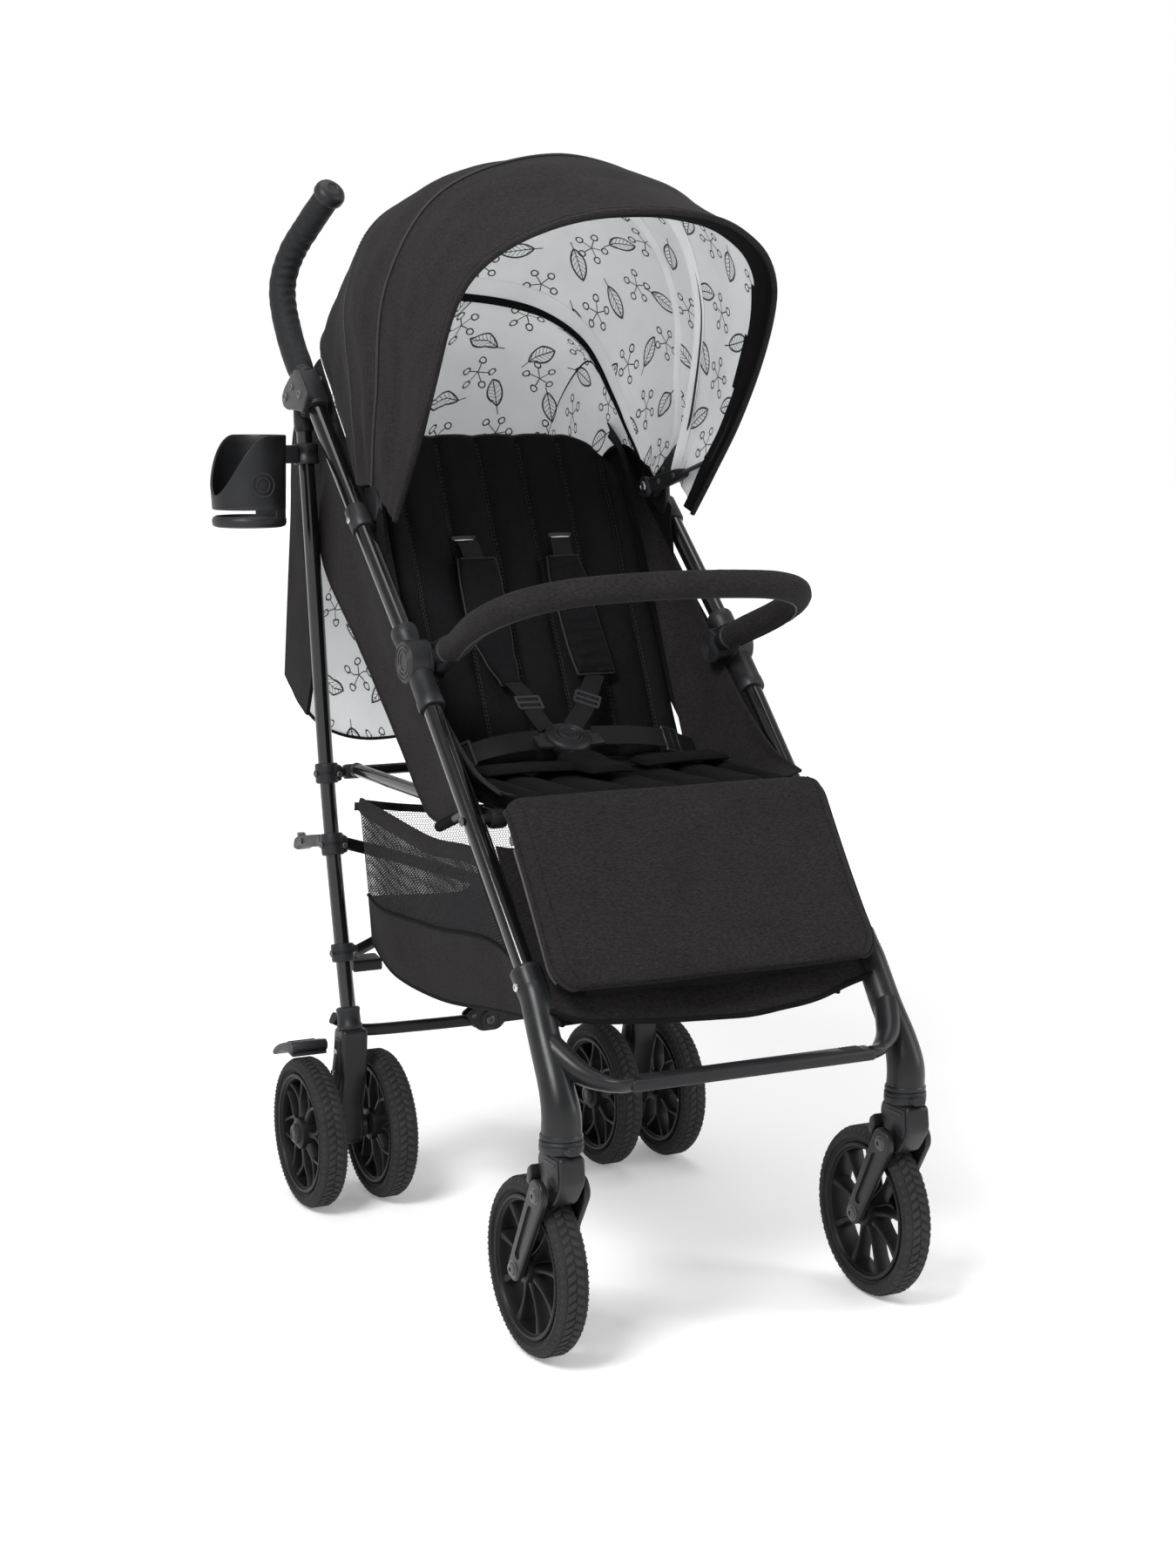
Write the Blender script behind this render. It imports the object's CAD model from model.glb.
"""Looks of a lightweight pushchair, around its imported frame.

Everything is built in the part's frame in metres. Points are written in the
side view's own frame (mid plane x = 0) and moved by OX, OY when a mesh is made.
"""
import random
from math import sin, cos, pi, radians, sqrt, atan2, floor, hypot
import bpy
import bmesh
from mathutils import Vector, Matrix, noise

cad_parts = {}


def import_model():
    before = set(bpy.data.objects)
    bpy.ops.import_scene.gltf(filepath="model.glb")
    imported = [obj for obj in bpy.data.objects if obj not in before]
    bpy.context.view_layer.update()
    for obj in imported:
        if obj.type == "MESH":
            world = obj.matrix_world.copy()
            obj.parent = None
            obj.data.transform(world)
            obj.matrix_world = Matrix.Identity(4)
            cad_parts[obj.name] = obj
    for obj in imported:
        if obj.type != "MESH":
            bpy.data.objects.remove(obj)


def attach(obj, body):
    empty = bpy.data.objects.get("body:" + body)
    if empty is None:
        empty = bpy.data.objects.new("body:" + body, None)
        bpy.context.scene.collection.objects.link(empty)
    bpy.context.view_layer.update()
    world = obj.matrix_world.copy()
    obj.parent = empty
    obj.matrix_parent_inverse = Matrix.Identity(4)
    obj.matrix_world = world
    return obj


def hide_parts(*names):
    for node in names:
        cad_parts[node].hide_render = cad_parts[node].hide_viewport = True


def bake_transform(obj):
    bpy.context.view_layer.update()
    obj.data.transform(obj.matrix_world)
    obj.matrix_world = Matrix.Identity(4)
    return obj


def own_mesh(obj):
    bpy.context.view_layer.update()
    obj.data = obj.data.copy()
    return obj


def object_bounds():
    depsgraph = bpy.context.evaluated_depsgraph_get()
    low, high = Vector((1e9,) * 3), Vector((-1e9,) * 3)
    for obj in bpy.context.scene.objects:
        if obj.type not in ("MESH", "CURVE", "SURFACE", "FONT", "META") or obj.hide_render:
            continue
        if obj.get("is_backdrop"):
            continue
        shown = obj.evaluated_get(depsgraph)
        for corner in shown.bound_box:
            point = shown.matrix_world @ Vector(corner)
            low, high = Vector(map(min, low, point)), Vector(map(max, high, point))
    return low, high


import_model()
CAD_LO, CAD_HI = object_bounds()

OX, OY = 0.0380, 0.0520
OFF = Vector((OX, OY, 0))
TUBE_X, TUBE_R, LEG_R = 0.182, 0.0095, 0.0085
PIVOT, TUBE_TOP = (0.184, 0.882), (0.1760, 0.9055)
KNUCKLE, FOOT = (-0.135, 0.622), (-0.400, 0.350)
SWIVEL_Y, SWIVEL_X = -0.473, 0.185
FORK_PIVOT, FRONT_AXLE, FRONT_R = (-0.469, 0.169), (-0.421, 0.085), 0.085
REAR_AXLE, REAR_R, TYRE_W = (0.089, 0.0825), 0.0825, 0.032
REAR_OUTER_X, REAR_INNER_X, HOUSING_X = 0.220, 0.138, 0.179
SEAT_HINGE, SEAT_TUBE_X, SEAT_TUBE_R = (-0.272, 0.482), 0.1562, 0.007
RECLINE, CALF, HOOD = (-0.088, 0.484), (-0.318, 0.474), (0.000, 0.785)
SIDES = (("right", -1), ("left", 1))


def mix(a, b, t):
    return a + (b - a) * t


def smooth(t):
    t = min(1.0, max(0.0, t))
    return t * t * (3 - 2 * t)


def V(*a):
    return Vector(a)


# ---------------------------------------------------------------- mesh tools
def obj(name, bm, mat, body, slot=None, replaces=(), angle=32, flat=False, uv=None, recalc=True):
    """A piece from bm (points in the side view's frame), riding on a body."""
    if recalc:
        bmesh.ops.recalc_face_normals(bm, faces=bm.faces[:])
    for v in bm.verts:
        v.co += OFF
    me = bpy.data.meshes.new(name)
    bm.to_mesh(me)
    bm.free()
    for m in (mat if isinstance(mat, (list, tuple)) else [mat]):
        me.materials.append(m)
    if not flat:
        me.shade_smooth()
        me.set_sharp_from_angle(angle=radians(angle))
    o = bpy.data.objects.new(name, me)
    bpy.context.collection.objects.link(o)
    if body:
        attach(o, body)
    if replaces:
        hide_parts(*replaces)
    return o


def frames(pts, ref=None):
    pts = [Vector(p) for p in pts]
    tang = []
    for i in range(len(pts)):
        a, b = pts[max(i - 1, 0)], pts[min(i + 1, len(pts) - 1)]
        tang.append((b - a).normalized())
    if ref is None:
        ref = Vector((1, 0, 0)) if abs(tang[0].x) < 0.8 else Vector((0, 0, 1))
    n = (ref - tang[0] * ref.dot(tang[0])).normalized()
    out = []
    for p, t in zip(pts, tang):
        n = (n - t * n.dot(t)).normalized()
        out.append((p, t, n, t.cross(n)))
    return out


def sweep(bm, pts, radius, sides=32, flat=1.0, ref=None, caps=True, mat=0, power=2.0):
    """Tube along pts. radius: number or list; flat squashes the second axis; power > 2 squares it off."""
    fr = frames(pts, ref)
    rad = radius if isinstance(radius, (list, tuple)) else [radius] * len(pts)
    fl = flat if isinstance(flat, (list, tuple)) else [flat] * len(pts)
    rings = []
    for (p, t, n, b), r, f in zip(fr, rad, fl):
        row = []
        for k in range(sides):
            a = 2 * pi * k / sides
            c, s = cos(a), sin(a)
            if power != 2.0:
                q = (abs(c) ** power + abs(s) ** power) ** (-1.0 / power)
                c, s = c * q, s * q
            row.append(bm.verts.new(p + n * r * c + b * r * f * s))
        rings.append(row)
    fs = []
    for a, c in zip(rings, rings[1:]):
        for k in range(sides):
            fs.append(bm.faces.new((a[k], a[(k + 1) % sides], c[(k + 1) % sides], c[k])))
    if caps:
        fs.append(bm.faces.new(rings[0][::-1]))
        fs.append(bm.faces.new(rings[-1]))
    for f in fs:
        f.material_index = mat
    return rings


def basis(axis):
    axis = Vector(axis).normalized()
    ref = Vector((0, 0, 1)) if abs(axis.z) < 0.8 else Vector((0, 1, 0))
    u = (ref - axis * ref.dot(axis)).normalized()
    return axis, u, axis.cross(u)


def turned(bm, centre, axis, profile, seg=40, mat=0, caps=True):
    """Turned solid: profile is an open list of (radius, along-axis); a 0 radius closes in a point."""
    axis, u, w = basis(axis)
    c = Vector(centre)
    rings = []
    for r, s in profile:
        if r < 1e-7:
            rings.append([bm.verts.new(c + axis * s)])
        else:
            rings.append([bm.verts.new(c + (u * cos(2 * pi * k / seg) + w * sin(2 * pi * k / seg)) * r + axis * s) for k in range(seg)])
    fs = []
    for a, b in zip(rings, rings[1:]):
        if len(a) == 1 and len(b) == 1:
            continue
        for k in range(seg):
            j = (k + 1) % seg
            if len(a) == 1:
                fs.append(bm.faces.new((a[0], b[j], b[k])))
            elif len(b) == 1:
                fs.append(bm.faces.new((a[k], a[j], b[0])))
            else:
                fs.append(bm.faces.new((a[k], a[j], b[j], b[k])))
    if caps:
        if len(rings[0]) > 1:
            fs.append(bm.faces.new(rings[0][::-1]))
        if len(rings[-1]) > 1:
            fs.append(bm.faces.new(rings[-1]))
    for f in fs:
        f.material_index = mat
    return rings


def ring(bm, centre, axis, profile, seg=72, mat=0):
    """Turned closed ring: profile is a closed loop of (radius, along-axis)."""
    axis, u, w = basis(axis)
    c = Vector(centre)
    loops = []
    for k in range(seg):
        a = 2 * pi * k / seg
        d = u * cos(a) + w * sin(a)
        loops.append([bm.verts.new(c + d * r + axis * s) for r, s in profile])
    m = len(profile)
    for k in range(seg):
        A, B = loops[k], loops[(k + 1) % seg]
        for i in range(m):
            f = bm.faces.new((A[i], A[(i + 1) % m], B[(i + 1) % m], B[i]))
            f.material_index = mat


def plate(bm, outline, a, b, r=0.0012, axis="x", mat=0, steps=3):
    """Plate with rounded rims between a and b; outline in the other two axes, in order."""
    n = len(outline)
    area = sum(outline[i][0] * outline[(i + 1) % n][1] - outline[(i + 1) % n][0] * outline[i][1] for i in range(n))
    o = outline if area > 0 else outline[::-1]
    pts = [Vector((p[0], p[1])) for p in o]
    inw = []
    for i in range(n):
        d0 = (pts[i] - pts[i - 1]).normalized()
        d1 = (pts[(i + 1) % n] - pts[i]).normalized()
        n0, n1 = Vector((-d0.y, d0.x)), Vector((-d1.y, d1.x))
        m = n0 + n1
        m = m / max(0.35, m.length_squared / 2)
        inw.append(m)
    rows = []
    lo, hi = min(a, b), max(a, b)
    r = min(r, (hi - lo) * 0.49)
    prof = [(r * (1 - sin(pi / 2 * k / steps)), lo + r * (1 - cos(pi / 2 * k / steps))) for k in range(steps + 1)]
    prof += [(r * (1 - cos(pi / 2 * k / steps)), hi - r * (1 - sin(pi / 2 * k / steps))) for k in range(steps + 1)]
    for ins, h in prof:
        row = []
        for p, m in zip(pts, inw):
            q = p + m * ins
            row.append(bm.verts.new((h, q.x, q.y) if axis == "x" else ((q.x, h, q.y) if axis == "y" else (q.x, q.y, h))))
        rows.append(row)
    fs = []
    for A, B in zip(rows, rows[1:]):
        for k in range(n):
            fs.append(bm.faces.new((A[k], A[(k + 1) % n], B[(k + 1) % n], B[k])))
    fs.append(bm.faces.new(rows[0][::-1]))
    fs.append(bm.faces.new(rows[-1]))
    for f in fs:
        f.material_index = mat
    return fs


def arc(centre, r, a0, a1, n):
    return [(centre[0] + r * cos(radians(a0 + (a1 - a0) * k / n)), centre[1] + r * sin(radians(a0 + (a1 - a0) * k / n))) for k in range(n + 1)]


def catmull(pts, per):
    out = []
    n = len(pts)
    pts = [Vector(p) for p in pts]
    for i in range(n - 1):
        p0, p1, p2, p3 = pts[max(i - 1, 0)], pts[i], pts[i + 1], pts[min(i + 2, n - 1)]
        for k in range(per):
            t = k / per
            out.append(0.5 * ((2 * p1) + (p2 - p0) * t + (2 * p0 - 5 * p1 + 4 * p2 - p3) * t * t + (3 * p1 - p0 - 3 * p2 + p3) * t ** 3))
    out.append(pts[-1].copy())
    return out


def rounded(outline, r, n=4):
    """Outline with its corners rounded by r."""
    out = []
    m = len(outline)
    pts = [Vector((p[0], p[1])) for p in outline]
    for i in range(m):
        p, a, b = pts[i], pts[i - 1], pts[(i + 1) % m]
        da, db = (a - p), (b - p)
        la, lb = da.length, db.length
        q = min(r, la * 0.45, lb * 0.45)
        s, e = p + da.normalized() * q, p + db.normalized() * q
        for k in range(n + 1):
            t = k / n
            x = (1 - t) ** 2 * s + 2 * t * (1 - t) * p + t * t * e
            out.append((x.x, x.y))
    return out


def evenly(pts, n):
    """n + 1 points at equal steps along a polyline."""
    pts = [Vector(p) for p in pts]
    ln = [0.0]
    for a, b in zip(pts, pts[1:]):
        ln.append(ln[-1] + (b - a).length)
    out, i = [], 0
    for k in range(n + 1):
        d = ln[-1] * k / n
        while i < len(ln) - 2 and ln[i + 1] < d:
            i += 1
        t = (d - ln[i]) / max(1e-9, ln[i + 1] - ln[i])
        out.append(pts[i].lerp(pts[i + 1], min(1.0, max(0.0, t))))
    return out


def sheet_grid(bm, rows, t=0.0016, uvs=True, mats=(0, 0, 0), uv_scale=1.0):
    """Closed thin sheet from a grid of points; t goes behind the grid. Materials: face, back, edge."""
    rows = [[Vector(p) for p in r] for r in rows]
    n, m = len(rows), len(rows[0])
    uvl = bm.loops.layers.uv.verify()
    norm = [[Vector() for _ in range(m)] for _ in range(n)]
    for i in range(n):
        for j in range(m):
            a = rows[min(i + 1, n - 1)][j] - rows[max(i - 1, 0)][j]
            b = rows[i][min(j + 1, m - 1)] - rows[i][max(j - 1, 0)]
            c = a.cross(b)
            norm[i][j] = c.normalized() if c.length > 1e-12 else Vector((0, 0, 1))
    # flat coordinates in metres: along rows measured from the middle column
    us = [[0.0] * m for _ in range(n)]
    vs = [[0.0] * m for _ in range(n)]
    mid = m // 2
    for i in range(n):
        for j in range(mid + 1, m):
            us[i][j] = us[i][j - 1] + (rows[i][j] - rows[i][j - 1]).length
        for j in range(mid - 1, -1, -1):
            us[i][j] = us[i][j + 1] - (rows[i][j] - rows[i][j + 1]).length
    for j in range(m):
        for i in range(1, n):
            vs[i][j] = vs[i - 1][j] + (rows[i][j] - rows[i - 1][j]).length
    top = [[bm.verts.new(rows[i][j]) for j in range(m)] for i in range(n)]
    low = [[bm.verts.new(rows[i][j] - norm[i][j] * t) for j in range(m)] for i in range(n)]

    def face(vv, ij, mi):
        try:
            f = bm.faces.new(vv)
        except ValueError:
            return
        f.material_index = mi
        for lp, (i, j) in zip(f.loops, ij):
            lp[uvl].uv = (us[i][j] * uv_scale, vs[i][j] * uv_scale)

    for i in range(n - 1):
        for j in range(m - 1):
            ij = ((i, j), (i + 1, j), (i + 1, j + 1), (i, j + 1))
            face([top[a][b] for a, b in ij], ij, mats[0])
            ij = ((i, j), (i, j + 1), (i + 1, j + 1), (i + 1, j))
            face([low[a][b] for a, b in ij], ij, mats[1])
    for i in range(n - 1):
        for j in (0, m - 1):
            face([top[i][j], low[i][j], low[i + 1][j], top[i + 1][j]], ((i, j),) * 2 + ((i + 1, j),) * 2, mats[2])
    for j in range(m - 1):
        for i in (0, n - 1):
            face([top[i][j], top[i][j + 1], low[i][j + 1], low[i][j]], ((i, j), (i, j + 1), (i, j + 1), (i, j)), mats[2])
    return rows, norm


def bolt(bm, c, axis, r=0.0042, h=0.0028, mat=0, hexed=True, seg=24):
    """Domed screw head with a hexagon socket."""
    axis, u, w = basis(axis)
    c = Vector(c)
    prof = [(r * 0.94, 0.0), (r, h * 0.22), (r * 0.97, h * 0.62), (r * 0.82, h * 0.9), (r * 0.60, h)]
    turned(bm, c, axis, prof, seg, mat, caps=False)
    # socket: hexagon sunk into the head
    top = [c + (u * cos(2 * pi * k / seg) + w * sin(2 * pi * k / seg)) * r * 0.60 + axis * h for k in range(seg)]
    hx = []
    for k in range(seg):
        a = 2 * pi * k / seg
        rr = r * 0.40 * cos(pi / 6) / cos((a % (pi / 3)) - pi / 6) if hexed else r * 0.36
        hx.append((a, rr))
    A = [bm.verts.new(p) for p in top]
    B = [bm.verts.new(c + (u * cos(a) + w * sin(a)) * q + axis * h * 0.98) for a, q in hx]
    C = [bm.verts.new(c + (u * cos(a) + w * sin(a)) * q * 0.94 + axis * h * 0.30) for a, q in hx]
    for k in range(seg):
        j = (k + 1) % seg
        for P, Q in ((A, B), (B, C)):
            f = bm.faces.new((P[k], P[j], Q[j], Q[k]))
            f.material_index = mat
    f = bm.faces.new(C)
    f.material_index = mat


def rivet(bm, c, axis, r=0.0045, h=0.0022, mat=0, seg=28):
    turned(bm, c, axis, [(r, 0), (r, h * 0.25), (r * 0.92, h * 0.62), (r * 0.70, h * 0.92), (r * 0.46, h), (r * 0.40, h * 0.72), (r * 0.16, h * 0.66), (0, h * 0.64)], seg, mat)


def subdiv(o, n=1):
    m = o.modifiers.new("subdivision", "SUBSURF")
    m.levels = n
    m.render_levels = n
    return o


def bevelled(o, w, seg=3, angle=35):
    m = o.modifiers.new("bevel", "BEVEL")
    m.width = w
    m.segments = seg
    m.limit_method = "ANGLE"
    m.angle_limit = radians(angle)
    m.harden_normals = False
    return o


def union(a, b):
    """b's mesh is united with a; b goes."""
    m = a.modifiers.new("union", "BOOLEAN")
    m.operation = "UNION"
    m.solver = "EXACT"
    m.object = b
    apply(a)
    bpy.data.objects.remove(b, do_unlink=True)
    return a


def carve(a, b):
    m = a.modifiers.new("carve", "BOOLEAN")
    m.operation = "DIFFERENCE"
    m.solver = "EXACT"
    m.object = b
    apply(a)
    bpy.data.objects.remove(b, do_unlink=True)
    return a


def apply(o, angle=None):
    """The modifiers' result becomes the mesh."""
    dg = bpy.context.evaluated_depsgraph_get()
    me = bpy.data.meshes.new_from_object(o.evaluated_get(dg), depsgraph=dg)
    o.modifiers.clear()
    old = o.data
    o.data = me
    me.name = old.name
    bpy.data.meshes.remove(old)
    if angle:
        me.shade_smooth()
        me.set_sharp_from_angle(angle=radians(angle))
    return o


def scratch(bm):
    """A loose object for booleans, in the side view's frame moved to its place."""
    bmesh.ops.recalc_face_normals(bm, faces=bm.faces[:])
    for v in bm.verts:
        v.co += OFF
    me = bpy.data.meshes.new("scratch")
    bm.to_mesh(me)
    bm.free()
    o = bpy.data.objects.new("scratch", me)
    bpy.context.collection.objects.link(o)
    return o


def dirn(a, b):
    return Vector((0, b[0] - a[0], b[1] - a[1])).normalized()


UP, DOWN = dirn(KNUCKLE, TUBE_TOP), dirn(KNUCKLE, FOOT)


def on_line(y, a=KNUCKLE, b=TUBE_TOP):
    return a[1] + (y - a[0]) * (b[1] - a[1]) / (b[0] - a[0])


# ----------------------------------------------------------------- materials
class Net:
    """Short names for building a node tree."""

    def __init__(self, name, colour, rough, metal=0.0, **sockets):
        self.m = bpy.data.materials.new(name)
        self.m.use_nodes = True
        self.nt = self.m.node_tree
        self.b = self.nt.nodes["Principled BSDF"]
        self.b.inputs["Base Color"].default_value = (*colour, 1)
        self.b.inputs["Roughness"].default_value = rough
        self.b.inputs["Metallic"].default_value = metal
        for k, v in sockets.items():
            self.b.inputs[k.replace("_", " ")].default_value = v
        self.m.diffuse_color = (*colour, 1)
        self.tc = self.nt.nodes.new("ShaderNodeTexCoord")
        self.obj = self.tc.outputs["Object"]
        self.uv = self.tc.outputs["UV"]

    def set(self, sock, v):
        if isinstance(v, bpy.types.NodeSocket):
            self.nt.links.new(v, sock)
        elif v is not None:
            sock.default_value = v

    def f(self, op, a, b=None, c=None, clamp=False):
        n = self.nt.nodes.new("ShaderNodeMath")
        n.operation = op
        n.use_clamp = clamp
        self.set(n.inputs[0], a)
        if b is not None:
            self.set(n.inputs[1], b)
        if c is not None:
            self.set(n.inputs[2], c)
        return n.outputs[0]

    def v(self, op, a, b=None, out=0, scale=None):
        n = self.nt.nodes.new("ShaderNodeVectorMath")
        n.operation = op
        self.set(n.inputs[0], a)
        if b is not None:
            self.set(n.inputs[1], b)
        if scale is not None:
            self.set(n.inputs["Scale"], scale)
        return n.outputs[out]

    def scaled(self, vec, s):
        return self.v("MULTIPLY", vec, s if isinstance(s, (tuple, list)) else (s, s, s))

    def noise(self, vec, scale, detail=2.0, rough=0.5, out="Fac", distortion=0.0):
        n = self.nt.nodes.new("ShaderNodeTexNoise")
        self.set(n.inputs["Vector"], vec)
        n.inputs["Scale"].default_value = scale
        n.inputs["Detail"].default_value = detail
        n.inputs["Roughness"].default_value = rough
        n.inputs["Distortion"].default_value = distortion
        return n.outputs[out]

    def voronoi(self, vec, scale, feature="F1", out="Distance"):
        n = self.nt.nodes.new("ShaderNodeTexVoronoi")
        n.feature = feature
        self.set(n.inputs["Vector"], vec)
        n.inputs["Scale"].default_value = scale
        return n.outputs[out]

    def ramp(self, fac, stops):
        n = self.nt.nodes.new("ShaderNodeValToRGB")
        self.set(n.inputs[0], fac)
        e = n.color_ramp.elements
        e[0].position, e[0].color = stops[0][0], (*stops[0][1], 1)
        e[1].position, e[1].color = stops[-1][0], (*stops[-1][1], 1)
        for p, c in stops[1:-1]:
            x = e.new(p)
            x.color = (*c, 1)
        return n.outputs[0]

    def span(self, fac, a, b, c=0.0, d=1.0):
        n = self.nt.nodes.new("ShaderNodeMapRange")
        self.set(n.inputs["Value"], fac)
        for k, x in zip(("From Min", "From Max", "To Min", "To Max"), (a, b, c, d)):
            n.inputs[k].default_value = x
        return n.outputs[0]

    def mixc(self, fac, a, b):
        n = self.nt.nodes.new("ShaderNodeMix")
        n.data_type = "RGBA"
        self.set(n.inputs[0], fac)
        self.set(n.inputs[6], (*a, 1) if isinstance(a, tuple) else a)
        self.set(n.inputs[7], (*b, 1) if isinstance(b, tuple) else b)
        return n.outputs[2]

    def bump(self, height, strength, distance=0.001):
        n = self.nt.nodes.new("ShaderNodeBump")
        self.set(n.inputs["Height"], height)
        n.inputs["Strength"].default_value = strength
        n.inputs["Distance"].default_value = distance
        self.nt.links.new(n.outputs[0], self.b.inputs["Normal"])

    def out(self, **links):
        for k, x in links.items():
            self.set(self.b.inputs[k.replace("_", " ")], x)
        return self.m

    def edges(self, lo=0.52, hi=0.60):
        """Bright along worn convex rims."""
        g = self.nt.nodes.new("ShaderNodeNewGeometry")
        return self.span(g.outputs["Pointiness"], lo, hi)


def grained(name, dark, light, rough, grain=1500, depth=0.35, wear=0.35, coat=0.0, spec=0.26):
    """Moulded plastic: fine texture, faint colour and gloss variation, paler worn rims."""
    n = Net(name, dark, rough, Specular_IOR_Level=spec, Coat_Weight=coat, Coat_Roughness=0.25)
    big = n.noise(n.obj, 22, 4, 0.6)
    fine = n.noise(n.obj, grain, 3, 0.7)
    cell = n.voronoi(n.obj, grain * 0.6)
    col = n.mixc(n.f("MULTIPLY", n.span(big, 0.35, 0.7), 0.55), dark, light)
    col = n.mixc(n.f("MULTIPLY", n.edges(), wear, clamp=True), col, tuple(min(1, c * 2.6 + 0.01) for c in light))
    r = n.span(n.f("ADD", n.f("MULTIPLY", big, 0.5), n.f("MULTIPLY", fine, 0.5)), 0.3, 0.7, rough - 0.07, rough + 0.09)
    n.bump(n.f("ADD", n.f("MULTIPLY", fine, 0.6), n.f("MULTIPLY", cell, 0.5)), depth, 0.00018)
    return n.out(Base_Color=col, Roughness=r)


def tube_paint():
    n = Net("tube_gloss_black", (0.0055, 0.0055, 0.006), 0.17, Specular_IOR_Level=0.5, Coat_Weight=0.35, Coat_Roughness=0.06)
    peel = n.noise(n.obj, 260, 2, 0.4)
    haze = n.noise(n.scaled(n.obj, (1, 0.35, 0.35)), 38, 4, 0.65)
    scuff = n.noise(n.scaled(n.obj, (9, 1, 1)), 55, 5, 0.8)
    r = n.f("ADD", n.span(haze, 0.35, 0.7, 0.11, 0.17), n.span(scuff, 0.68, 0.76, 0.0, 0.08))
    col = n.mixc(n.f("MULTIPLY", n.edges(0.53, 0.62), 0.5, clamp=True), (0.0055, 0.0055, 0.006), (0.05, 0.05, 0.052))
    n.bump(peel, 0.10, 0.0002)
    return n.out(Base_Color=col, Roughness=r)


def steel():
    n = Net("steel_bright", (0.66, 0.66, 0.68), 0.26, 1.0)
    br = n.noise(n.scaled(n.obj, (1, 1, 8)), 700, 3, 0.7)
    st = n.noise(n.obj, 120, 4, 0.7)
    col = n.mixc(n.span(st, 0.4, 0.75), (0.70, 0.70, 0.72), (0.42, 0.42, 0.44))
    n.bump(br, 0.12, 0.0001)
    return n.out(Base_Color=col, Roughness=n.span(br, 0.3, 0.7, 0.2, 0.36))


def rubber():
    n = Net("tyre_rubber", (0.026, 0.025, 0.026), 0.72, Specular_IOR_Level=0.16)
    a = n.noise(n.obj, 14, 5, 0.7)
    b = n.noise(n.obj, 900, 3, 0.6)
    dust = n.span(a, 0.45, 0.72)
    col = n.mixc(dust, (0.015, 0.0145, 0.015), (0.030, 0.029, 0.028))
    col = n.mixc(n.f("MULTIPLY", n.edges(0.52, 0.62), 0.35, clamp=True), col, (0.055, 0.052, 0.050))
    n.bump(b, 0.25, 0.0002)
    return n.out(Base_Color=col, Roughness=n.span(a, 0.3, 0.7, 0.62, 0.82))


def foam():
    n = Net("grip_foam", (0.017, 0.018, 0.020), 0.62, Specular_IOR_Level=0.14, Sheen_Weight=0.02, Sheen_Roughness=0.5)
    p = n.voronoi(n.obj, 1700)
    q = n.noise(n.obj, 600, 4, 0.7)
    w = n.noise(n.scaled(n.obj, (1, 1, 5)), 60, 3, 0.6)
    col = n.mixc(n.span(q, 0.35, 0.7), (0.009, 0.0095, 0.0105), (0.020, 0.021, 0.023))
    n.bump(n.f("ADD", n.f("MULTIPLY", p, 0.5), n.f("ADD", n.f("MULTIPLY", q, 0.4), n.f("MULTIPLY", w, 0.6))), 0.32, 0.0004)
    return n.out(Base_Color=col, Roughness=n.span(w, 0.3, 0.7, 0.54, 0.70))


def woven(name, dark, light, rough=0.86, thread=1150, melange=1.0, depth=0.4, sheen=0.02, soft=0.35, spec=0.05):
    """Cloth: two sets of threads, mottled yarn colours and faint slack."""
    n = Net(name, dark, rough, Specular_IOR_Level=spec, Sheen_Weight=sheen, Sheen_Roughness=0.45)
    wx = n.noise(n.scaled(n.obj, (0.28, 0.28, 1.9)), thread, 1, 0.5)
    wy = n.noise(n.scaled(n.obj, (1.9, 1.9, 0.28)), thread, 1, 0.5)
    yarn = n.f("MAXIMUM", wx, wy)
    fleck = n.noise(n.scaled(n.obj, (0.6, 0.6, 2.2)), 420, 3, 0.75)
    blot = n.noise(n.obj, 24, 3, 0.6)
    k = n.f("ADD", n.f("MULTIPLY", n.span(fleck, 0.36, 0.66), 0.65 * melange), n.f("MULTIPLY", n.span(yarn, 0.45, 0.75), 0.35))
    col = n.mixc(n.f("MINIMUM", k, 1.0), dark, light)
    col = n.mixc(n.f("MULTIPLY", n.span(blot, 0.4, 0.7), 0.16), col, tuple(c * 0.55 for c in dark))
    slack = n.noise(n.obj, 26, 3, 0.55)
    h = n.f("ADD", n.f("MULTIPLY", yarn, 0.22), n.f("MULTIPLY", slack, soft * 3.0))
    n.bump(h, depth, 0.0012)
    return n.out(Base_Color=col, Roughness=n.span(fleck, 0.3, 0.7, rough - 0.06, min(1.0, rough + 0.08)))


def webbing(name="webbing_black", dark=(0.0028, 0.0028, 0.0031), light=(0.0090, 0.0090, 0.0097)):
    """Ribbed strap; u of its UV runs across, v along, both in metres."""
    n = Net(name, dark, 0.62, Specular_IOR_Level=0.16, Sheen_Weight=0.02, Sheen_Roughness=0.4)
    sx = n.nt.nodes.new("ShaderNodeSeparateXYZ")
    n.set(sx.inputs[0], n.uv)
    u, v = sx.outputs[0], sx.outputs[1]
    rib = n.f("ABSOLUTE", n.f("SINE", n.f("MULTIPLY", v, 2 * pi / 0.0028)))
    cross = n.f("ABSOLUTE", n.f("SINE", n.f("MULTIPLY", u, 2 * pi / 0.0040)))
    h = n.f("ADD", n.f("MULTIPLY", rib, 0.6), n.f("MULTIPLY", cross, 0.4))
    fz = n.noise(n.obj, 900, 3, 0.7)
    col = n.mixc(n.f("MULTIPLY", n.f("ADD", h, fz), 0.5), dark, light)
    n.bump(h, 0.4, 0.0004)
    return n.out(Base_Color=col)


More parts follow.
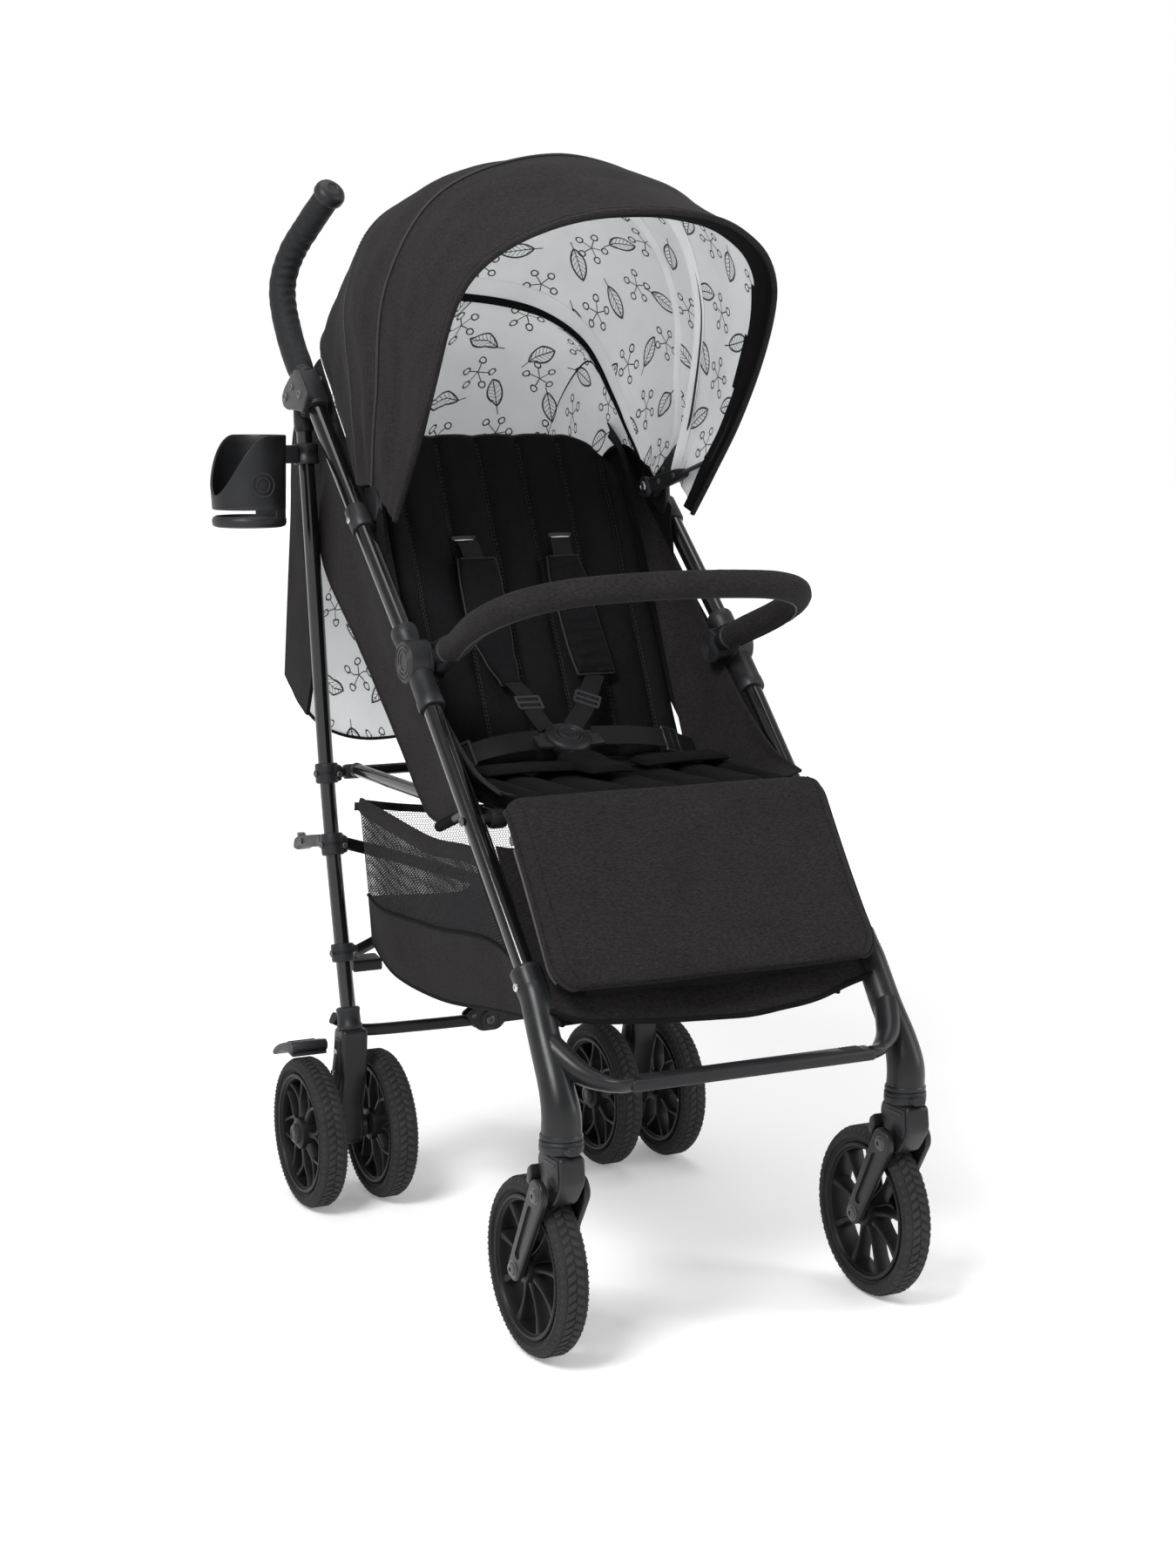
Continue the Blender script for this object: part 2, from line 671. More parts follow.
def open_mesh(name, colour, pitch=0.0032, hole=0.30, uvs=True):
    """Knitted net: round holes in staggered rows, see-through."""
    n = Net(name, colour, 0.8, Specular_IOR_Level=0.2)
    p = n.scaled(n.uv, (1 / pitch, 1 / (pitch * 0.866), 1))
    sx = n.nt.nodes.new("ShaderNodeSeparateXYZ")
    n.set(sx.inputs[0], p)
    u, v = sx.outputs[0], sx.outputs[1]
    row = n.f("FLOOR", v)
    odd = n.f("MULTIPLY", n.f("FLOORED_MODULO", row, 2.0), 0.5)
    fu = n.f("SUBTRACT", n.f("FRACT", n.f("ADD", u, odd)), 0.5)
    fv = n.f("MULTIPLY", n.f("SUBTRACT", n.f("FRACT", v), 0.5), 0.866)
    d = n.f("SQRT", n.f("ADD", n.f("MULTIPLY", fu, fu), n.f("MULTIPLY", fv, fv)))
    a = n.span(d, hole, hole + 0.07)
    fz = n.noise(n.obj, 300, 3, 0.7)
    col = n.mixc(n.span(fz, 0.3, 0.7), colour, tuple(c * 2.0 + 0.004 for c in colour))
    n.bump(d, 0.3, 0.0005)
    return n.out(Base_Color=col, Alpha=a)


def printed(name="fabric_print", shade=(0.93, 0.945, 0.955), cell=0.072, ink=True):
    """Pale lining with leaves and small sprigs drawn in thin black lines."""
    n = Net(name, shade, 0.82, Specular_IOR_Level=0.2, Sheen_Weight=0.1, Sheen_Roughness=0.5)
    slack = n.noise(n.obj, 20, 4, 0.55)
    fib = n.noise(n.scaled(n.uv, (1, 3, 1)), 700, 2, 0.6)
    base = n.mixc(n.span(slack, 0.35, 0.7), tuple(c * 0.94 for c in shade), tuple(min(1, c * 1.03) for c in shade))
    base = n.mixc(n.f("MULTIPLY", n.span(fib, 0.4, 0.7), 0.12), base, tuple(c * 0.8 for c in shade))
    if not ink:
        n.bump(n.f("ADD", n.f("MULTIPLY", slack, 0.8), n.f("MULTIPLY", fib, 0.1)), 0.35, 0.0015)
        n.set(n.b.inputs["Emission Color"], base)
        n.b.inputs["Emission Strength"].default_value = 0.045
        return n.out(Base_Color=base)

    def motif(cell, shift, kind):
        p = n.v("ADD", n.scaled(n.uv, 1 / cell), shift)
        sx = n.nt.nodes.new("ShaderNodeSeparateXYZ")
        n.set(sx.inputs[0], p)
        row = n.f("FLOOR", sx.outputs[1])
        u = n.f("ADD", sx.outputs[0], n.f("MULTIPLY", n.f("FLOORED_MODULO", row, 2.0), 0.5))
        idv = n.nt.nodes.new("ShaderNodeCombineXYZ")
        n.set(idv.inputs[0], n.f("FLOOR", u))
        n.set(idv.inputs[1], row)
        wn = n.nt.nodes.new("ShaderNodeTexWhiteNoise")
        wn.noise_dimensions = "3D"
        n.set(wn.inputs["Vector"], n.v("ADD", idv.outputs[0], shift))
        rs = n.nt.nodes.new("ShaderNodeSeparateColor")
        n.set(rs.inputs[0], wn.outputs["Color"])
        jx = n.f("MULTIPLY", n.f("SUBTRACT", rs.outputs[0], 0.5), 0.16)
        jy = n.f("MULTIPLY", n.f("SUBTRACT", rs.outputs[1], 0.5), 0.16)
        x = n.f("ADD", n.f("SUBTRACT", n.f("FRACT", u), 0.5), jx)
        y = n.f("ADD", n.f("SUBTRACT", n.f("FRACT", sx.outputs[1]), 0.5), jy)
        ang = n.f("MULTIPLY", rs.outputs[2], 2 * pi)
        c, s = n.f("COSINE", ang), n.f("SINE", ang)
        px = n.f("SUBTRACT", n.f("MULTIPLY", x, c), n.f("MULTIPLY", y, s))
        py = n.f("ADD", n.f("MULTIPLY", x, s), n.f("MULTIPLY", y, c))
        ay = n.f("ABSOLUTE", py)
        w = 0.0240 * 0.046 / cell
        if kind == "leaf":
            R, h = 0.36, 0.235
            d = n.f("SUBTRACT", n.f("SQRT", n.f("ADD", n.f("MULTIPLY", px, px), n.f("POWER", n.f("ADD", ay, h), 2.0))), R)
            edge = n.f("LESS_THAN", n.f("ABSOLUTE", d), w)
            inn = n.f("LESS_THAN", d, 0.0)
            rib = n.f("MULTIPLY", n.f("LESS_THAN", ay, w * 0.6), n.f("MULTIPLY", n.f("LESS_THAN", px, 0.24), n.f("GREATER_THAN", px, -0.42)))
            ph = n.f("FRACT", n.f("SUBTRACT", n.f("MULTIPLY", px, 13.0), n.f("MULTIPLY", ay, 13.0)))
            vein = n.f("MULTIPLY", n.f("LESS_THAN", ph, 0.17), n.f("MULTIPLY", inn, n.f("LESS_THAN", ay, 0.095)))
            return n.f("MAXIMUM", n.f("MAXIMUM", edge, rib), vein)
        # sprig: three stalks with a small berry at each end
        r = n.f("SQRT", n.f("ADD", n.f("MULTIPLY", px, px), n.f("MULTIPLY", py, py)))
        th = n.f("ARCTAN2", py, px)
        q = n.f("SUBTRACT", n.f("FRACT", n.f("MULTIPLY", n.f("ADD", n.f("MULTIPLY", th, 1 / (2 * pi)), 1.0), 5.0)), 0.5)
        tang = n.f("MULTIPLY", n.f("MULTIPLY", q, r), 2 * pi / 5)
        stalk = n.f("MULTIPLY", n.f("LESS_THAN", n.f("ABSOLUTE", tang), w * 0.6), n.f("LESS_THAN", r, 0.17))
        bd = n.f("SQRT", n.f("ADD", n.f("MULTIPLY", tang, tang), n.f("POWER", n.f("SUBTRACT", r, 0.225), 2.0)))
        berry = n.f("LESS_THAN", n.f("ABSOLUTE", n.f("SUBTRACT", bd, 0.052)), w * 0.8)
        return n.f("MAXIMUM", stalk, berry)

    ink1 = motif(cell, (0.13, 0.37, 0.0), "leaf")
    ink2 = motif(cell * 1.06, (0.61, 0.93, 0.0), "sprig")
    col = n.mixc(n.f("MULTIPLY", n.f("MAXIMUM", ink1, n.f("MULTIPLY", ink2, 1.0)), 0.96), base, (0.010, 0.010, 0.012))
    n.set(n.b.inputs["Emission Color"], col)
    n.b.inputs["Emission Strength"].default_value = 0.045
    n.bump(n.f("ADD", n.f("MULTIPLY", slack, 0.8), n.f("MULTIPLY", fib, 0.1)), 0.35, 0.0015)
    return n.out(Base_Color=col)


M_TUBE = tube_paint()
M_PLASTIC = grained("plastic_black", (0.0085, 0.0088, 0.0098), (0.0155, 0.0160, 0.0175), 0.42)
M_SATIN = grained("plastic_satin", (0.0080, 0.0083, 0.0092), (0.0140, 0.0144, 0.0158), 0.34, grain=900, depth=0.15, coat=0.06)
M_BRACKET = grained("bracket_grey", (0.022, 0.022, 0.024), (0.036, 0.036, 0.039), 0.40, grain=1100, depth=0.55, wear=0.5)
M_RIM = grained("rim_black", (0.0042, 0.0042, 0.0047), (0.0085, 0.0085, 0.0092), 0.42, grain=1300, depth=0.3, wear=0.15, spec=0.18)
M_STEEL = steel()
M_DARKSTEEL = grained("steel_dark", (0.030, 0.030, 0.032), (0.060, 0.060, 0.063), 0.30, grain=500, depth=0.15, spec=0.6)
M_RUBBER = rubber()
M_FOAM = foam()
M_CHAR = woven("fabric_charcoal", (0.0085, 0.0077, 0.0080), (0.0290, 0.0262, 0.0266), sheen=0.02)
M_CHAR_IN = woven("fabric_charcoal_back", (0.007, 0.0066, 0.0068), (0.018, 0.0170, 0.0175), sheen=0.01)
M_BLACK = woven("fabric_black", (0.0038, 0.0038, 0.0044), (0.0115, 0.0115, 0.0125), rough=0.8, thread=1400, melange=0.7, depth=0.35, sheen=0.01)
M_PIPE = woven("piping_black", (0.0060, 0.0060, 0.0066), (0.017, 0.017, 0.018), rough=0.6, thread=1800, melange=0.5, depth=0.25, sheen=0.05, soft=0.1, spec=0.4)
M_STITCH = woven("thread_grey", (0.016, 0.015, 0.015), (0.040, 0.038, 0.038), rough=0.6, thread=2600, melange=0.5, depth=0.2, sheen=0.0, soft=0.05)
M_WEB = webbing()
M_PRINT = printed()
M_WHITE = printed("casing_white", (0.90, 0.915, 0.93), ink=False)
M_MESH = open_mesh("mesh_black", (0.007, 0.007, 0.008), pitch=0.0034, hole=0.27)
M_MESH_OPEN = open_mesh("mesh_black_open", (0.010, 0.010, 0.011), pitch=0.0030, hole=0.42)
M_MESHGREY = open_mesh("mesh_window", (0.16, 0.165, 0.17), pitch=0.0022, hole=0.20)
M_REFLECT = Net("reflective_tape", (0.55, 0.56, 0.58), 0.38, 0.55, Specular_IOR_Level=0.6)
_n = M_REFLECT
_h = _n.voronoi(_n.obj, 900)
_n.bump(_h, 0.25, 0.0003)
M_REFLECT = _n.out(Base_Color=_n.mixc(_n.span(_h, 0.2, 0.6), (0.42, 0.43, 0.45), (0.72, 0.73, 0.75)))


# --------------------------------------------------------- camera and studio
cam_data = bpy.data.cameras.new("camera")
cam_data.lens = 59.08
cam_data.sensor_width = 36.0
cam_data.clip_end = 60
cam = bpy.data.objects.new("camera", cam_data)
bpy.context.collection.objects.link(cam)
_f = Vector((0.4398, 0.8848, -0.1533)).normalized()
_r = Vector((0.8955, -0.4451, 0.0))
_r = (_r - _f * _r.dot(_f)).normalized()
_u = _r.cross(_f)
cam.matrix_world = Matrix(((_r.x, _u.x, -_f.x, -1.128), (_r.y, _u.y, -_f.y, -2.449), (_r.z, _u.z, -_f.z, 0.895), (0, 0, 0, 1)))
bpy.context.scene.camera = cam
bpy.context.scene.view_settings.view_transform = "Standard"


def studio():
    n = Net("floor_white", (0.93, 0.93, 0.93), 0.9, Specular_IOR_Level=0.1)
    t = n.noise(n.obj, 3, 3, 0.5)
    n.b.inputs["Emission Color"].default_value = (1, 1, 1, 1)
    n.b.inputs["Emission Strength"].default_value = 0.36
    dist = n.nt.nodes.new("ShaderNodeVectorMath")
    dist.operation = "LENGTH"
    n.set(dist.inputs[0], n.obj)
    n.set(n.b.inputs["Emission Strength"], n.span(dist.outputs["Value"], 0.9, 2.6, 0.20, 0.78))
    m = n.out(Base_Color=n.mixc(t, (0.92, 0.92, 0.925), (0.94, 0.94, 0.94)))
    bm = bmesh.new()
    seg = 96
    rr = [0.0, 0.6, 1.2, 2.5, 5.0, 9.0, 14.0, 20.0]
    rows = []
    for r in rr:
        if r == 0:
            rows.append([bm.verts.new((0, 0, -0.0004))])
        else:
            rows.append([bm.verts.new((r * cos(2 * pi * k / seg), r * sin(2 * pi * k / seg), -0.0004)) for k in range(seg)])
    for a, b in zip(rows, rows[1:]):
        for k in range(seg):
            j = (k + 1) % seg
            bm.faces.new((a[0], b[k], b[j]) if len(a) == 1 else (a[k], b[k], b[j], a[j]))
    bmesh.ops.recalc_face_normals(bm, faces=bm.faces[:])
    me = bpy.data.meshes.new("floor")
    bm.to_mesh(me)
    bm.free()
    me.materials.append(m)
    o = bpy.data.objects.new("floor", me)
    bpy.context.collection.objects.link(o)
    o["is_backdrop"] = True
    w = bpy.data.worlds.new("studio")
    bpy.context.scene.world = w
    w.use_nodes = True
    bg = w.node_tree.nodes["Background"]
    bg.inputs[0].default_value = (1.0, 1.0, 1.0, 1)
    nt = w.node_tree
    tc = nt.nodes.new("ShaderNodeTexCoord")
    sp = nt.nodes.new("ShaderNodeSeparateXYZ")
    nt.links.new(tc.outputs["Generated"], sp.inputs[0])
    mr = nt.nodes.new("ShaderNodeMapRange")
    mr.interpolation_type = "SMOOTHSTEP"
    for k, x in (("From Min", 0.17), ("From Max", 0.55), ("To Min", 1.0), ("To Max", 0.34)):
        mr.inputs[k].default_value = x
    nt.links.new(sp.outputs[2], mr.inputs["Value"])
    nt.links.new(mr.outputs["Result"], bg.inputs[1])

    def lamp(name, loc, target, size, power, size_y=None, spread=120):
        d = bpy.data.lights.new(name, "AREA")
        d.shape = "RECTANGLE"
        d.size, d.size_y = size, size_y or size
        d.energy = power
        d.spread = radians(spread)
        l = bpy.data.objects.new(name, d)
        l.location = loc
        l.rotation_euler = (Vector(target) - Vector(loc)).to_track_quat("-Z", "Y").to_euler()
        bpy.context.collection.objects.link(l)

    lamp("key", (-1.7, -1.3, 2.5), (0, 0, 0.55), 1.0, 34)
    lamp("fill", (2.2, -1.6, 1.5), (0, 0, 0.6), 0.8, 12, 2.0)
    lamp("top", (0.2, 0.3, 3.0), (0, 0, 0.4), 2.0, 14)


studio()


# --------------------------------------------------------------- side frames
GRIP = [(0.182, 0.1860, 0.9146), (0.182, 0.207, 0.937), (0.182, 0.229, 0.970), (0.180, 0.242, 0.998),
        (0.176, 0.241, 1.021), (0.170, 0.230, 1.043), (0.162, 0.208, 1.066), (0.151, 0.171, 1.097)]


def tube_end(bm, c, d, r, seg=40):
    turned(bm, c, d, [(r, 0), (r * 0.98, 0.0006), (r * 0.86, 0.0016), (0, 0.0019)], seg)


for side, s in SIDES:
    X = s * TUBE_X
    k, f = Vector((X, *KNUCKLE)), Vector((X, *FOOT))
    top = Vector((X, *TUBE_TOP))
    # push tube and front leg
    bm = bmesh.new()
    sweep(bm, evenly([k + UP * 0.030, top + UP * 0.004], 24), TUBE_R, 48)
    obj(f"push_tube_{side}_looks", bm, M_TUBE, "front_frame", "tube_black", [f"push_tube_{side}"])
    bm = bmesh.new()
    sweep(bm, evenly([k + DOWN * 0.048, f - DOWN * 0.002], 20), TUBE_R, 48)
    obj(f"front_leg_{side}_looks", bm, M_TUBE, "front_frame", "tube_black", [f"front_leg_{side}"])
    # foam grip: fine creases on the inside of the bend, a thinner collar below and a flared cap
    pts = catmull([(s * x, y, z) for x, y, z in GRIP], 14)
    pts = [top + UP * 0.0003, top + UP * 0.004, top + UP * 0.010] + pts[9:]
    pts = evenly(pts, 150)
    fr = frames(pts)
    bm = bmesh.new()
    n = len(pts)
    rings = []
    random.seed(11)
    for i, (p, t, nn, b) in enumerate(fr):
        u = i / (n - 1)
        r = 0.0146 * mix(0.90, 1.0, smooth(u / 0.05)) * mix(1.0, 0.985, smooth((u - 0.9) / 0.1))
        row = []
        for q in range(40):
            a = 2 * pi * q / 40
            d = nn * cos(a) + b * sin(a)
            inner = max(0.0, -d.y)          # the bend's inside faces forwards
            bend = smooth((u - 0.22) / 0.15) * (1 - smooth((u - 0.72) / 0.15))
            wr = sin(u * 118 + 1.3 * sin(a * 2) + 2.0 * noise.noise(Vector((u * 9, a, 3)))) * 0.00055 * bend * (0.35 + inner)
            lump = noise.noise(Vector((u * 26, cos(a) * 1.4, sin(a) * 1.4 + s))) * 0.0003
            row.append(bm.verts.new(p + d * (r + wr + lump)))
        rings.append(row)
    for A, B in zip(rings, rings[1:]):
        for q in range(40):
            bm.faces.new((A[q], A[(q + 1) % 40], B[(q + 1) % 40], B[q]))
    bm.faces.new(rings[0][::-1])
    bm.faces.new(rings[-1])
    obj(f"grip_{side}_looks", bm, M_FOAM, "front_frame", "grip_foam", [f"grip_{side}"], angle=60)
    bm = bmesh.new()
    d = (pts[-1] - pts[-3]).normalized()
    turned(bm, pts[-1] - d * 0.0030, d, [(0.0146, 0), (0.0166, 0.0006), (0.0172, 0.0022), (0.0172, 0.0070), (0.0166, 0.0092), (0.0150, 0.0118), (0.0115, 0.0138), (0.0075, 0.0144), (0.0068, 0.0137), (0, 0.0134)], 48)
    obj(f"grip_cap_{side}", bm, M_PLASTIC, "front_frame", "plastic_black")
    bm = bmesh.new()
    turned(bm, top - UP * 0.0002, UP, [(0.0102, -0.0020), (0.0124, -0.0016), (0.0130, 0.0), (0.0134, 0.0030), (0.0122, 0.0036)], 44)
    obj(f"grip_collar_{side}", bm, M_SATIN, "front_frame", "plastic_black")

    # handle bracket: moulded block round the tube, outer plate with two rivets, pin of the rear leg
    c = top - UP * 0.0285
    side_n = Vector((0, -UP.z, UP.y))
    bm = bmesh.new()
    blk = rounded([(-0.0275, -0.0120), (0.0275, -0.0120), (0.0275, 0.0122), (0.0185, 0.0138), (-0.0200, 0.0134), (-0.0275, 0.0112)], 0.0045, 5)
    world = [((c + UP * a + side_n * b2).y, (c + UP * a + side_n * b2).z) for a, b2 in blk]
    plate(bm, world, X - 0.0143, X + 0.0143, 0.0042, steps=5)
    ob = obj(f"handle_block_{side}", bm, M_PLASTIC, "front_frame", "plastic_black", angle=40)
    # shallow ribs round the block's mouth
    bm = bmesh.new()
    for a in (-0.0252, 0.0252):
        ring(bm, c + UP * a, UP, [(0.0098, -0.0024), (0.0136, -0.0024), (0.0141, -0.0012), (0.0141, 0.0012), (0.0136, 0.0024), (0.0098, 0.0024)], 44)
    obj(f"handle_block_rims_{side}", bm, M_PLASTIC, "front_frame", "plastic_black")
    xo = X + s * 0.0149
    out = rounded([(0.119, 0.884), (0.150, 0.9125), (0.162, 0.908), (0.187, 0.893), (0.197, 0.882), (0.193, 0.872), (0.181, 0.868), (0.160, 0.868), (0.131, 0.866)], 0.006, 5)
    bm = bmesh.new()
    plate(bm, out, xo - s * 0.0018, xo + s * 0.0026, 0.0013, steps=3)
    obj(f"handle_plate_{side}", bm, M_BRACKET, "front_frame", "bracket_grey", [f"handle_bracket_{side}"], angle=38)
    bm = bmesh.new()
    for y, z in ((0.1395, 0.8850), (0.1640, 0.8930), (PIVOT[0], PIVOT[1])):
        rivet(bm, (xo + s * 0.0024, y, z), (s, 0, 0), 0.0052 if z != 0.8930 else 0.0040, 0.0024)
    turned(bm, (s * 0.1886, *PIVOT), (s, 0, 0), [(0.0058, 0), (0.0058, 0.0060)], 28)
    obj(f"handle_rivets_{side}", bm, M_DARKSTEEL, "front_frame", "bright_steel")
    # inner cheek that holds the rear leg's head
    bm = bmesh.new()
    chk = rounded([(0.150, 0.868), (0.150, 0.905), (0.172, 0.902), (0.194, 0.886), (0.194, 0.873), (0.180, 0.867)], 0.005, 5)
    plate(bm, chk, s * 0.1690, s * 0.1710, 0.0009, steps=2)
    obj(f"handle_cheek_{side}", bm, M_BRACKET, "front_frame", "bracket_grey", angle=38)

    # elbow: disc with concentric grooves on its outer face, two sockets and an inner boss
    bm = bmesh.new()
    h = 0.0138
    prof = [(0, -h), (0.0120, -h), (0.0128, -h + 0.0008), (0.0195, -h + 0.0010), (0.0214, -h + 0.0026), (0.0219, -h + 0.0050), (0.0212, -h + 0.0056), (0.0212, -h + 0.0072), (0.0219, -h + 0.0078),
            (0.0220, h - 0.0052), (0.0214, h - 0.0020), (0.0200, h - 0.0004), (0.0184, h), (0.0178, h - 0.0008), (0.0166, h - 0.0010), (0.0160, h - 0.0002), (0.0138, h),
            (0.0132, h - 0.0009), (0.0120, h - 0.0011), (0.0114, h - 0.0003), (0.0092, h), (0.0086, h - 0.0008), (0.0050, h - 0.0009), (0, h - 0.0006)]
    turned(bm, k, (s, 0, 0), prof, 72)
    obj(f"elbow_disc_{side}", bm, M_PLASTIC, "front_frame", "plastic_black", [f"elbow_{side}"], angle=30)
    bm = bmesh.new()
    for d, l in ((UP, 0.0425), (DOWN, 0.0605)):
        prof = [(0.0102, 0.012), (0.0128, 0.014), (0.0131, l - 0.0130), (0.0137, l - 0.0118), (0.0139, l - 0.0030), (0.0132, l - 0.0006), (0.0112, l), (0.0099, l - 0.0003)]
        turned(bm, k, d, prof, 48)
        # web from the disc to the socket
    obj(f"elbow_sockets_{side}", bm, M_PLASTIC, "front_frame", "plastic_black", angle=34)
    bm = bmesh.new()
    for d, q in ((UP, 1), (DOWN, -1)):
        t2 = Vector((0, -d.z, d.y))
        ol = [k + t2 * 0.0130 - d * 0.004, k + t2 * 0.0105 + d * 0.028, k - t2 * 0.0105 + d * 0.028, k - t2 * 0.0130 - d * 0.004]
        plate(bm, [(p.y, p.z) for p in ol], X - 0.0088, X + 0.0088, 0.004, steps=4)
    obj(f"elbow_webs_{side}", bm, M_PLASTIC, "front_frame", "plastic_black", angle=38)

    # front wheel casting: socket, flared neck, swivel head and the footrest arm
    path = [f - DOWN * 0.0125, f - DOWN * 0.0115, f + DOWN * 0.006, f + DOWN * 0.020, Vector((s * 0.1835, -0.438, 0.300)), Vector((s * SWIVEL_X, -0.462, 0.268)),
            Vector((s * SWIVEL_X, SWIVEL_Y, 0.244)), Vector((s * SWIVEL_X, SWIVEL_Y, 0.2215))]
    cp = catmull(path, 8)
    rad = catmull([V(r, 0, 0) for r in (0.0133, 0.0148, 0.0149, 0.0148, 0.0152, 0.0163, 0.0182, 0.0187)], 8)
    bm = bmesh.new()
    sweep(bm, cp, [q.x for q in rad], 56)
    a_ = scratch(bm)
    arm = catmull([(s * 0.182, -0.442, 0.300), (s * 0.166, -0.470, 0.280), (s * 0.148, -0.4865, 0.2710), (s * 0.1360, -0.4960, 0.2694), (s * 0.1270, -0.4970, 0.2697)], 8)
    na = len(arm)
    bm = bmesh.new()
    sweep(bm, arm, [mix(0.0125, 0.0107, smooth(i / (na - 1) * 1.4)) for i in range(na)], 40, [mix(1.0, 0.54, smooth(i / (na - 1) * 1.3)) for i in range(na)], ref=Vector((0, 1, 0)))
    union(a_, scratch(bm))
    me = a_.data
    me.shade_smooth()
    me.set_sharp_from_angle(angle=radians(45))
    me.materials.clear()
    me.materials.append(M_SATIN)
    a_.name = f"front_casting_{side}_looks"
    mm = a_.modifiers.new("soften", "BEVEL")
    mm.width, mm.segments, mm.limit_method, mm.angle_limit = 0.0016, 3, "ANGLE", radians(30)
    apply(a_, 40)
    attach(a_, "front_frame")
    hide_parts(f"front_casting_{side}")
    bm = bmesh.new()
    ring(bm, f - DOWN * 0.0118, DOWN, [(0.0097, -0.0018), (0.0140, -0.0018), (0.0150, -0.0004), (0.0152, 0.0024), (0.0146, 0.0040), (0.0097, 0.0040)], 52)
    ring(bm, (s * SWIVEL_X, SWIVEL_Y, 0.2235), (0, 0, -1), [(0.0120, -0.0026), (0.0192, -0.0026), (0.0200, -0.0012), (0.0200, 0.0010), (0.0192, 0.0018), (0.0120, 0.0018)], 60)
    obj(f"casting_rims_{side}", bm, M_SATIN, "front_frame", "plastic_black")
    bm = bmesh.new()
    bolt(bm, f + DOWN * 0.004 + Vector((s * 0.0146, 0, 0)), (s, 0, 0), 0.0042, 0.0022)
    obj(f"casting_bolt_{side}", bm, M_STEEL, "front_frame", "bright_steel")

# footrest bar: flat, with a glossy tread and ribs at its ends
bm = bmesh.new()
out = rounded([(-0.5080, 0.2642), (-0.4862, 0.2642), (-0.4862, 0.2755), (-0.5080, 0.2755)], 0.0042, 6)
plate(bm, out, -0.1292, 0.1292, 0.0030, steps=4)
obj("footrest_bar_looks", bm, M_PLASTIC, "front_frame", "plastic_black", ["footrest_bar"], angle=40)
bm = bmesh.new()
plate(bm, rounded([(-0.118, -0.5052), (0.118, -0.5052), (0.118, -0.4890), (-0.118, -0.4890)], 0.004, 5), 0.27535, 0.27625, 0.0005, axis="z", steps=2)
obj("footrest_tread", bm, M_SATIN, "front_frame", "plastic_black")
bm = bmesh.new()
for k in range(6):
    for s in (-1, 1):
        x = s * (0.0985 + k * 0.0034)
        plate(bm, rounded([(x - 0.0008, -0.5040), (x + 0.0008, -0.5040), (x + 0.0008, -0.4902), (x - 0.0008, -0.4902)], 0.0006, 2), 0.2760, 0.27675, 0.0003, axis="z", steps=1)
obj("footrest_ribs", bm, M_PLASTIC, "front_frame", "plastic_black")

